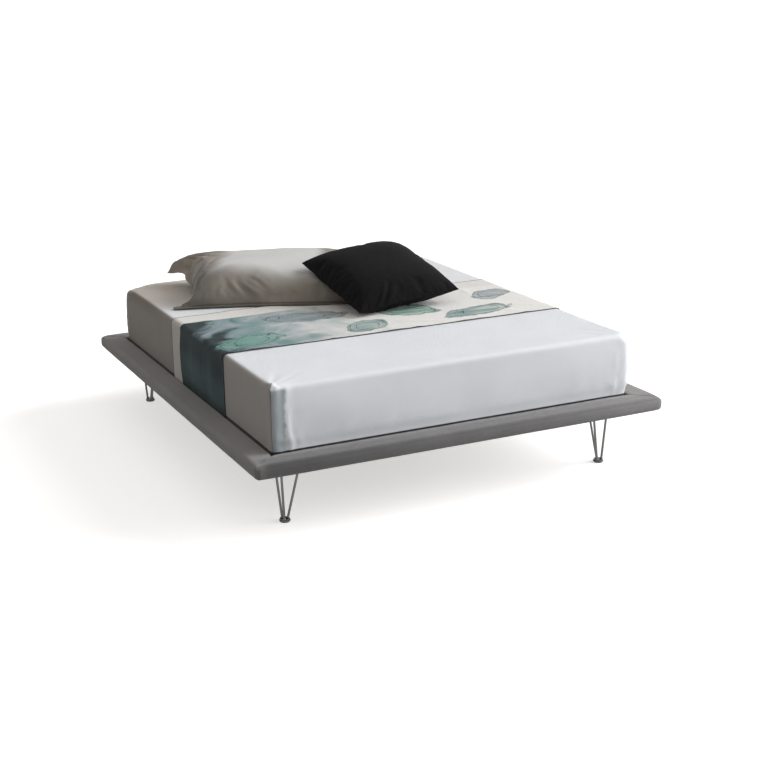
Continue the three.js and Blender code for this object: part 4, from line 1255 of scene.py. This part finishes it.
# %% Lay the runner
runner_gap, runner_thickness, runner_hem = 0.0013, 0.0022, 0.300
side_edge, top_flat = sheet_high - sheet_roll, sheet_half.x - sheet_roll
bend_radius = sheet_roll + runner_gap
bend_length = math.pi / 2 * bend_radius
runner_half = top_flat + bend_length + side_edge - runner_hem


def along_path(run):
    side = math.copysign(1, run)
    left = abs(run) - top_flat
    if left <= 0:
        return Vector((run, 0, sheet_high + runner_gap)), Vector((0, 0, 1))
    if left < bend_length:
        angle = left / bend_radius
        out = Vector((side * math.sin(angle), 0, math.cos(angle)))
        return Vector((side * top_flat, 0, side_edge)) + out * bend_radius, out
    drop = left - bend_length
    return Vector((side * (sheet_half.x + runner_gap), 0, side_edge - drop)), Vector((side, 0, 0))


def runner_push(run, across, x, z):
    if abs(run) <= top_flat + bend_length:
        ripple = ridge(run * 3.2 + across * 2.0, across * 3.5, 5.0, 5) * 0.0028
        soft = (wobble(run * 4, across * 5, 8.0) + 0.4) * 0.0012
        foot = bell(across, 0.045)
        lift = foot * 0.0045 * ridge(run * 2.9 + 0.4, 0.7, 2.0, 6)
        lift += foot * 0.007 * bell(run + top_flat + 0.01, 0.03)
        return max(0.0, ripple + soft) + lift
    height = (z - rim_high + 0.018) / (side_edge - rim_high + 0.018)
    swell = math.sin(math.pi * clamp(height, 0.0, 1.0))
    share = across / runner_width
    wave = (1 - math.cos(6 * math.pi * share + 0.8 * wobble(share * 4, z * 4, x))) / 2
    small = ridge(across * 12, z * 2.5, x * 3, 3) * 0.0016
    return swell * (0.0062 * wave + small) + 0.0006 * swell


def build_runner():
    bpy.ops.mesh.primitive_grid_add(x_subdivisions=208, y_subdivisions=66, size=1)
    bpy.context.object.scale = (2 * runner_half, runner_width, 1)
    cloth = started("runner_cloth")
    plan = [(v.co.x, v.co.y + runner_width / 2) for v in cloth.data.vertices]
    map_cloth(cloth, lambda co, normal, index: plan[index])
    edges = {"foot": [], "head": []}
    for vertex, (run, across) in zip(cloth.data.vertices, plan):
        spot, out = along_path(run)
        spot.y = runner_foot + across
        vertex.co = spot + out * runner_push(run, across, spot.x, spot.z)
        if across < 1e-5:
            edges["foot"].append(vertex.co.copy())
        if across > runner_width - 1e-5:
            edges["head"].append(vertex.co.copy())
    cloth.data.update()
    modify(cloth, "SOLIDIFY", thickness=runner_thickness, offset=1.0)
    shade(cloth, 60)
    return done(cloth, runner_cotton, "mattress_set", ["runner"]), edges


runner_cloth, runner_edges = build_runner()

# %% [markdown]
# The two long edges are bound with a thin dark piping. A piping is a cord in a strip of cloth, so a
# round curve that follows the edge of the runner point by point is its true shape.

# %% Piping along the runner
piping_radius = 0.0021


def along_out(spot):
    centre = Vector((clamp(spot.x, -top_flat, top_flat), spot.y, min(spot.z, side_edge)))
    return (spot - centre).normalized()


def build_piping(side, points):
    curve = bpy.data.curves.new(f"runner_piping_{side}", "CURVE")
    curve.dimensions = "3D"
    curve.bevel_depth, curve.bevel_resolution = piping_radius, 3
    curve.use_fill_caps = True
    line = curve.splines.new("POLY")
    line.points.add(len(points) - 1)
    lift = Vector((0, (1 if side == "head" else -1) * piping_radius * 0.6, 0))
    for entry, spot in zip(line.points, points):
        entry.co = (*(spot + lift + along_out(spot) * runner_thickness / 2), 1)
    piece = bpy.data.objects.new(curve.name, curve)
    bpy.context.collection.objects.link(piece)
    only(piece)
    bpy.ops.object.convert(target="MESH")
    piece = bpy.context.object
    map_cloth(piece, by_side)
    shade(piece)
    return done(piece, piping_cloth, "mattress_set")


pipings = [build_piping(side, points) for side, points in runner_edges.items()]
print("runner cut", round(2 * runner_half, 3), "by", runner_width, "m")

# %% [markdown]
# ## Pillow and cushion
# Both are cases of two panels sewn together round a soft filling. A flat grid is thickened into
# a closed bag with a thin wall where the seam is. Every point then goes to the crowned
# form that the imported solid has. Last, a short cloth simulation swells the bag: the cloth is cut a
# little larger than the form, so it buckles into folds that start at the seams, as a filled case does.

# %% Folds of a case
crease_steps = 12


def crown(u, v, power, root):
    return max(0.0, (1 - abs(u) ** power) * (1 - abs(v) ** power)) ** root


def case_grid(name, columns, rows):
    bpy.ops.mesh.primitive_grid_add(x_subdivisions=columns, y_subdivisions=rows, size=2)
    case = started(name)
    modify(case, "SOLIDIFY", thickness=1.0, offset=1.0)
    return case


def seam_folds(form, u, v):
    folds = 0.0
    for (_, su, sv), strength in zip(corners, form["corner_folds"]):
        away = Vector(((u - su) * (form["length"] / 2), (v - sv) * (form["depth"] / 2)))
        turn = math.atan2(away.y, away.x)
        fan = math.cos(turn * 21 + 5 * wobble(turn * 2.5, su * 3.0, sv * 5.0))
        near_by = bell(away.length, form["fold_reach"]) * smooth(away.length, 0.02, 0.10)
        folds += strength * fan * near_by
    ends = wobble(u * 1.3, v * 6.0 + u, 2.0) * smooth(abs(u), 0.5, 0.9)
    sides = wobble(u * 7.0 + v * 2, v * 1.5, 6.0) * smooth(abs(v), 0.5, 0.9)
    broad = wobble(u * 2.2, v * 1.8, 4.0)
    return form["folds"] * (folds + 0.8 * ends + 0.6 * sides + 0.6 * broad)


def crease(start, bend, end, depth, width):
    start, bend, end = Vector(start), Vector(bend), Vector(end)
    shares = [step / crease_steps for step in range(crease_steps + 1)]
    line = [start * (1 - t) ** 2 + bend * 2 * t * (1 - t) + end * t * t for t in shares]
    return line, depth, width


def drawn_creases(form, spot):
    height = 0.0
    for line, depth, width in form["creases"]:
        if (line[6] - spot).length > 0.22:
            continue
        reach, index = min(((point - spot).length, i) for i, point in enumerate(line))
        ahead = line[min(index + 1, crease_steps)] - line[max(index - 1, 0)]
        side = ahead.normalized().cross(spot - line[index])
        fade = math.sin(math.pi * (index + 0.5) / (crease_steps + 1)) ** 0.6
        height -= depth * fade * bell(reach, width)
        height += 0.8 * depth * fade * bell(side - 1.7 * width, width) * (reach < 4 * width)
    return height


# %% [markdown]
# Rows crowd towards the seam. The middle of a side is drawn in, the corners are pinched, gathered
# or stretched, the flange of the left end folds under, and elsewhere it flutters and droops.

# %% Form of a filled case
bed_level = 0.5835
slope_step = 0.01
flange_cells = 8


def spread(share, body, flange, cells):
    seam = 1 - flange_cells / cells if flange else 1.0
    inner = min(1.0, abs(share) / seam)
    beyond = flange * max(0.0, abs(share) - seam) / max(1e-9, 1 - seam)
    place = body * (1 - (1 - inner) ** 2)
    return math.copysign(place, share), math.copysign(beyond, share), math.copysign(inner, share)


def upper_push(form, u, v, body_x, body_y, full, spot):
    step, shape = slope_step, form["crown"]
    slope_x = (crown(u + step, v, *shape) - crown(u - step, v, *shape)) / (2 * step * body_x)
    slope_y = (crown(u, v + step, *shape) - crown(u, v - step, *shape)) / (2 * step * body_y)
    normal = Vector((-form["rise"] * slope_x, -form["rise"] * slope_y, 1)).normalized()
    return normal * (seam_folds(form, u, v) + drawn_creases(form, spot)) * smooth(full, 0.0, 0.5)


def case_point(form, x, y, upper):
    flange, edge, under = form["flange"], form["edge"], form["tuck_under"]
    body_x, body_y = form["length"] / 2 - flange, form["depth"] / 2 - flange
    in_x, out_x, _ = spread(x, body_x, flange, form["columns"])
    in_y, out_y, row = spread(y, body_y, flange, form["rows"])
    u, v = in_x / body_x, in_y / body_y
    front = Vector(((u + 1) * body_x, (v + 1) * body_y)).length
    tip = Vector(((u + 1) * body_x, (v - 1) * body_y)).length
    folded = smooth(-u, 0.6, 1.0) * smooth(-v, -0.3, 0.3) * (1 - smooth(-v, 0.88, 1.0))
    px = u * (body_x - form["draw_end"] * (1 - abs(v) ** 4)) + out_x * (1 - under * folded)
    px += under * 0.022 * folded
    px += form["gather"] * (1 - smooth(front, 0.0, 0.12))
    px -= form["stretch"] * (1 - smooth(tip, 0.0, 0.12))
    py = v * (body_y - form["draw_side"] * (1 - u * u)) + out_y
    py -= form["bulge"] * smooth(u, -0.3, 0.6) * smooth(-v, 0.0, 1.0)
    full = crown(u, v, *form["crown"])
    sag = form["sag"](u, v) * (1 - full)
    point = Vector((px, py, form["lift"](u, v)))
    if upper:
        pinch = 1 - form["pinch"] * (1 - smooth(front, 0.030, 0.100)) - form["taper"] * bell(tip, 0.15)
        point.z += edge / 2 + form["rise"] * full * pinch * (1 - form["dent"](u, v)) - sag
        point += upper_push(form, u, v, body_x, body_y, full, Vector((in_x, 0.36 * row)))
    else:
        drop = form["drop"]
        point.z += max(-edge / 2 - drop * min(1, 1.7 * full) - sag, -edge / 2 - drop)
    out = math.hypot(out_x, out_y)
    if out > 1e-6:
        wave = wobble(px * 9, py * 9, 1.0) + 0.6 * wobble(px * 22, py * 22, 3.0)
        point.z += (wave * form["flutter"] - form["droop"](u, v)) * smooth(out, 0.0, flange)
    return point, out > 1e-6, (in_x + out_x, in_y + out_y)


# %% [markdown]
# The seam and the flange are pinned while pressure swells the case, and no point may move further
# than a cap or sink into the bed.

# %% Swell a case
last_frame, pressure = 20, 4.0


def swell(case, pinned, cap, slack, keep_above):
    start = [v.co.copy() for v in case.data.vertices]
    case.vertex_groups.new(name="seam").add(pinned, 1.0, "REPLACE")
    cloth = case.modifiers.new("cloth", "CLOTH")
    settings = {
        "quality": 5, "mass": 0.25, "tension_stiffness": 18, "compression_stiffness": 18,
        "shear_stiffness": 8, "bending_stiffness": 0.4, "use_pressure": True,
        "uniform_pressure_force": pressure, "shrink_min": -slack, "vertex_group_mass": "seam",
        "pin_stiffness": 1.0,
    }
    for name, value in settings.items():
        setattr(cloth.settings, name, value)
    cloth.settings.effector_weights.gravity = 0
    cloth.collision_settings.use_collision = False
    cloth.point_cache.frame_start, cloth.point_cache.frame_end = 1, last_frame
    for step in range(1, last_frame + 1):
        bpy.context.scene.frame_set(step)
    only(case)
    bpy.ops.object.modifier_apply(modifier="cloth")
    bpy.context.scene.frame_set(1)
    moved = 0.0
    for vertex, origin in zip(case.data.vertices, start):
        shift = vertex.co - origin
        moved = max(moved, shift.length)
        if shift.length > cap:
            shift *= cap / shift.length
        vertex.co = origin + shift
        vertex.co.z = max(vertex.co.z, keep_above)
    print(case.name, "largest move", round(moved * 1000, 1), "mm, capped at", cap * 1000)


def build_case(node, form, place, material, cap, slack):
    case = case_grid(f"{node}_case", form["columns"], form["rows"])
    plan, pinned = [], []
    for vertex in case.data.vertices:
        x, y, level = vertex.co
        vertex.co, on_flange, flat = case_point(form, x, y, level > 0.5)
        plan.append(flat)
        if on_flange or max(abs(x), abs(y)) > 0.999:
            pinned.append(vertex.index)
    map_cloth(case, lambda co, normal, index: plan[index])
    case.data.transform(place)
    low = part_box(node)[0].z
    own_low = min(v.co.z for v in case.data.vertices)
    case.data.transform(Matrix.Translation((0, 0, low - own_low)))
    swell(case, pinned, cap, slack, low)
    modify(case, "SUBSURF", levels=1, render_levels=1)
    shade(case)
    done(case, material, f"{node}_body", [node])
    return case


# %% [markdown]
# The pillow lies turned on the bed. Its back left corner is raised and its flange droops there, and
# its front bulges towards the right.

# %% Pillow
pillow_form = {
    "columns": 112, "rows": 92, "length": 0.962, "depth": 0.590, "rise": 0.100, "drop": 0.070,
    "draw_end": 0.072, "draw_side": 0.006, "flange": 0.034, "edge": 0.004, "crown": (3.9, 0.31),
    "folds": 0.0042, "corner_folds": (1.0, 0.6, 0.5, 1.8), "fold_reach": 0.19, "flutter": 0.004,
    "pinch": 0.85, "taper": 0.45, "gather": 0.024, "stretch": 0.022, "tuck_under": 0.85, "bulge": 0.035,
    "sag": lambda u, v: 0.067 * ((1 - v) / 2) ** 2,
    "dent": lambda u, v: 0.6 * smooth(u - v, 0.1, 1.1),
    "lift": lambda u, v: 0.034 * smooth(-u, 0.35, 1.0) * smooth(v, 0.1, 1.0),
    "droop": lambda u, v: 0.050 * smooth(-u, 0.3, 1.0) * smooth(v, 0.4, 1.0),
    "creases": [
        crease((-0.222, -0.262), (-0.188, -0.325), (-0.140, -0.356), 0.0070, 0.010),
        crease((-0.170, -0.255), (-0.135, -0.325), (-0.060, -0.350), 0.0085, 0.012),
        crease((-0.120, -0.225), (-0.060, -0.240), (-0.030, -0.305), 0.0055, 0.012),
        crease((-0.250, -0.285), (-0.270, -0.335), (-0.253, -0.358), 0.0055, 0.010),
        crease((-0.312, -0.310), (-0.335, -0.340), (-0.325, -0.358), 0.0050, 0.010),
        crease((0.262, -0.270), (0.285, -0.320), (0.325, -0.352), 0.0045, 0.010),
        crease((0.080, -0.300), (0.100, -0.330), (0.140, -0.355), 0.0035, 0.012),
        crease((-0.400, -0.150), (-0.370, -0.050), (-0.300, 0.010), 0.0045, 0.011),
        crease((-0.405, 0.020), (-0.370, 0.080), (-0.290, 0.110), 0.0040, 0.010),
    ],
}
pillow_place = Matrix.Translation((-0.220, 0.481, 0)) @ Matrix.Rotation(math.radians(-19.8), 4, "Z")
pillow = build_case("pillow", pillow_form, pillow_place, pillow_cotton, 0.009, 0.025)

# %% [markdown]
# The cushion is square, has no flange, and leans on the pillow.

# %% Cushion
nothing = dict.fromkeys(
    ("flange", "flutter", "pinch", "taper", "gather", "stretch", "tuck_under", "bulge"), 0.0,
)
level = dict.fromkeys(("dent", "lift", "droop"), lambda u, v: 0.0)
cushion_form = nothing | level | {
    "columns": 84, "rows": 84, "length": 0.527, "depth": 0.527, "rise": 0.088, "drop": 0.047,
    "draw_end": 0.006, "draw_side": 0.006, "edge": 0.004, "crown": (2.8, 0.52),
    "folds": 0.0011, "corner_folds": (1.6, 0.8, 0.6, 0.8), "fold_reach": 0.12,
    "sag": lambda u, v: 0.040 * max(0, (u + v) / 2) ** 2,
    "creases": [
        crease((-0.150, -0.345), (-0.120, -0.270), (-0.070, -0.170), 0.0080, 0.011),
        crease((-0.110, -0.345), (-0.080, -0.290), (-0.030, -0.230), 0.0060, 0.010),
        crease((0.090, -0.345), (0.085, -0.310), (0.060, -0.260), 0.0035, 0.009),
    ],
}
cushion_place = Matrix.Translation((0.158, 0.069, 0))
for degrees, axis in ((6.6, "Z"), (15.2, "X"), (-4.3, "Y")):
    cushion_place = cushion_place @ Matrix.Rotation(math.radians(degrees), 4, axis)
cushion = build_case("cushion", cushion_form, cushion_place, cushion_cotton, 0.008, 0.015)

# %% [markdown]
# The cushion leans on the pillow and presses a hollow into it. For each point of the
# pillow a ray is sent straight up from below: where it meets the underside of the cushion, the
# point stays just under that place.

# %% Press the pillow under the cushion
press_gap = 0.001
under = BVHTree.FromObject(cushion, bpy.context.evaluated_depsgraph_get())
pressed = 0
for vertex in pillow.data.vertices:
    start = Vector((vertex.co.x, vertex.co.y, bed_level - 0.05))
    meets = under.ray_cast(start, Vector((0, 0, 1)))[0]
    if meets is not None and vertex.co.z > meets.z - press_gap:
        vertex.co.z = meets.z - press_gap
        pressed += 1
pillow.data.update()
print("points pressed down:", pressed)

# %% [markdown]
# ## Floor and light
# The bed stands on a plain pale floor. The floor shows as white to the camera and in
# reflections, and keeps the soft shadow of the bed. For the light that it throws back it is a
# dark grey, so that the shaded side of the bed stays in shade. One broad lamp from the right
# gives the main light. A smaller one stands in front on the right, so the foot of the bed grows
# paler towards it, and the world fills in softly from all around.

# %% Floor, world and lamps
def sees_background(tree):
    camera_ray, glossy_ray, passing_ray = (
        signal(tree, "LightPath", f"Is {kind} Ray", {}) for kind in ("Camera", "Glossy", "Transmission")
    )
    return maths("MAXIMUM", maths("MAXIMUM", camera_ray, glossy_ray), passing_ray)


def make_floor():
    bpy.ops.mesh.primitive_plane_add(size=60, location=(0, 0, 0))
    floor = bpy.context.object
    floor.name = "floor"
    material, tree, shader = new_material("floor")
    seen = sees_background(tree)
    shown = blend(noise_at(object_place(tree), 0.7, 2.0), 0.795, 0.805)
    feed(shader, {
        "Base Color": blend(seen, 0.2, shown),
        "Roughness": 0.9,
        "Specular IOR Level": 0.1,
        "Emission Color": 1.0,
        "Emission Strength": seen * 0.55,
    })
    lay_on(floor, material)


def make_world():
    world = bpy.data.worlds.new("studio")
    bpy.context.scene.world = world
    world.use_nodes = True
    tree = world.node_tree
    colour = blend(sees_background(tree), (0.49, 0.470, 0.445), 1.0)
    feed(tree.nodes["Background"], {"Color": colour, "Strength": 1.0})


def add_lamp(name, kind, place, target, energy, colour, **settings):
    data = bpy.data.lights.new(name, kind)
    data.energy, data.color = energy, colour
    for setting, value in settings.items():
        setattr(data, setting, value)
    lamp = bpy.data.objects.new(name, data)
    bpy.context.collection.objects.link(lamp)
    aim = (Vector(target) - Vector(place)).to_track_quat("-Z", "Y")
    lamp.matrix_world = Matrix.Translation(place) @ aim.to_matrix().to_4x4()


make_floor()
make_world()
sun_place, sun_angle = (0.87, -0.177, 0.457), math.radians(40)
add_lamp("key", "SUN", sun_place, (0, 0, 0), 3.0, (0.97, 0.985, 1.0), angle=sun_angle)
add_lamp("fill", "AREA", (2.6, -3.0, 1.2), (0.7, -0.9, 0.35), 30, (1.0, 1.0, 1.0), size=1.4)
bpy.context.scene.view_settings.view_transform = "Standard"
print("lamps:", [item.name for item in bpy.data.lights])
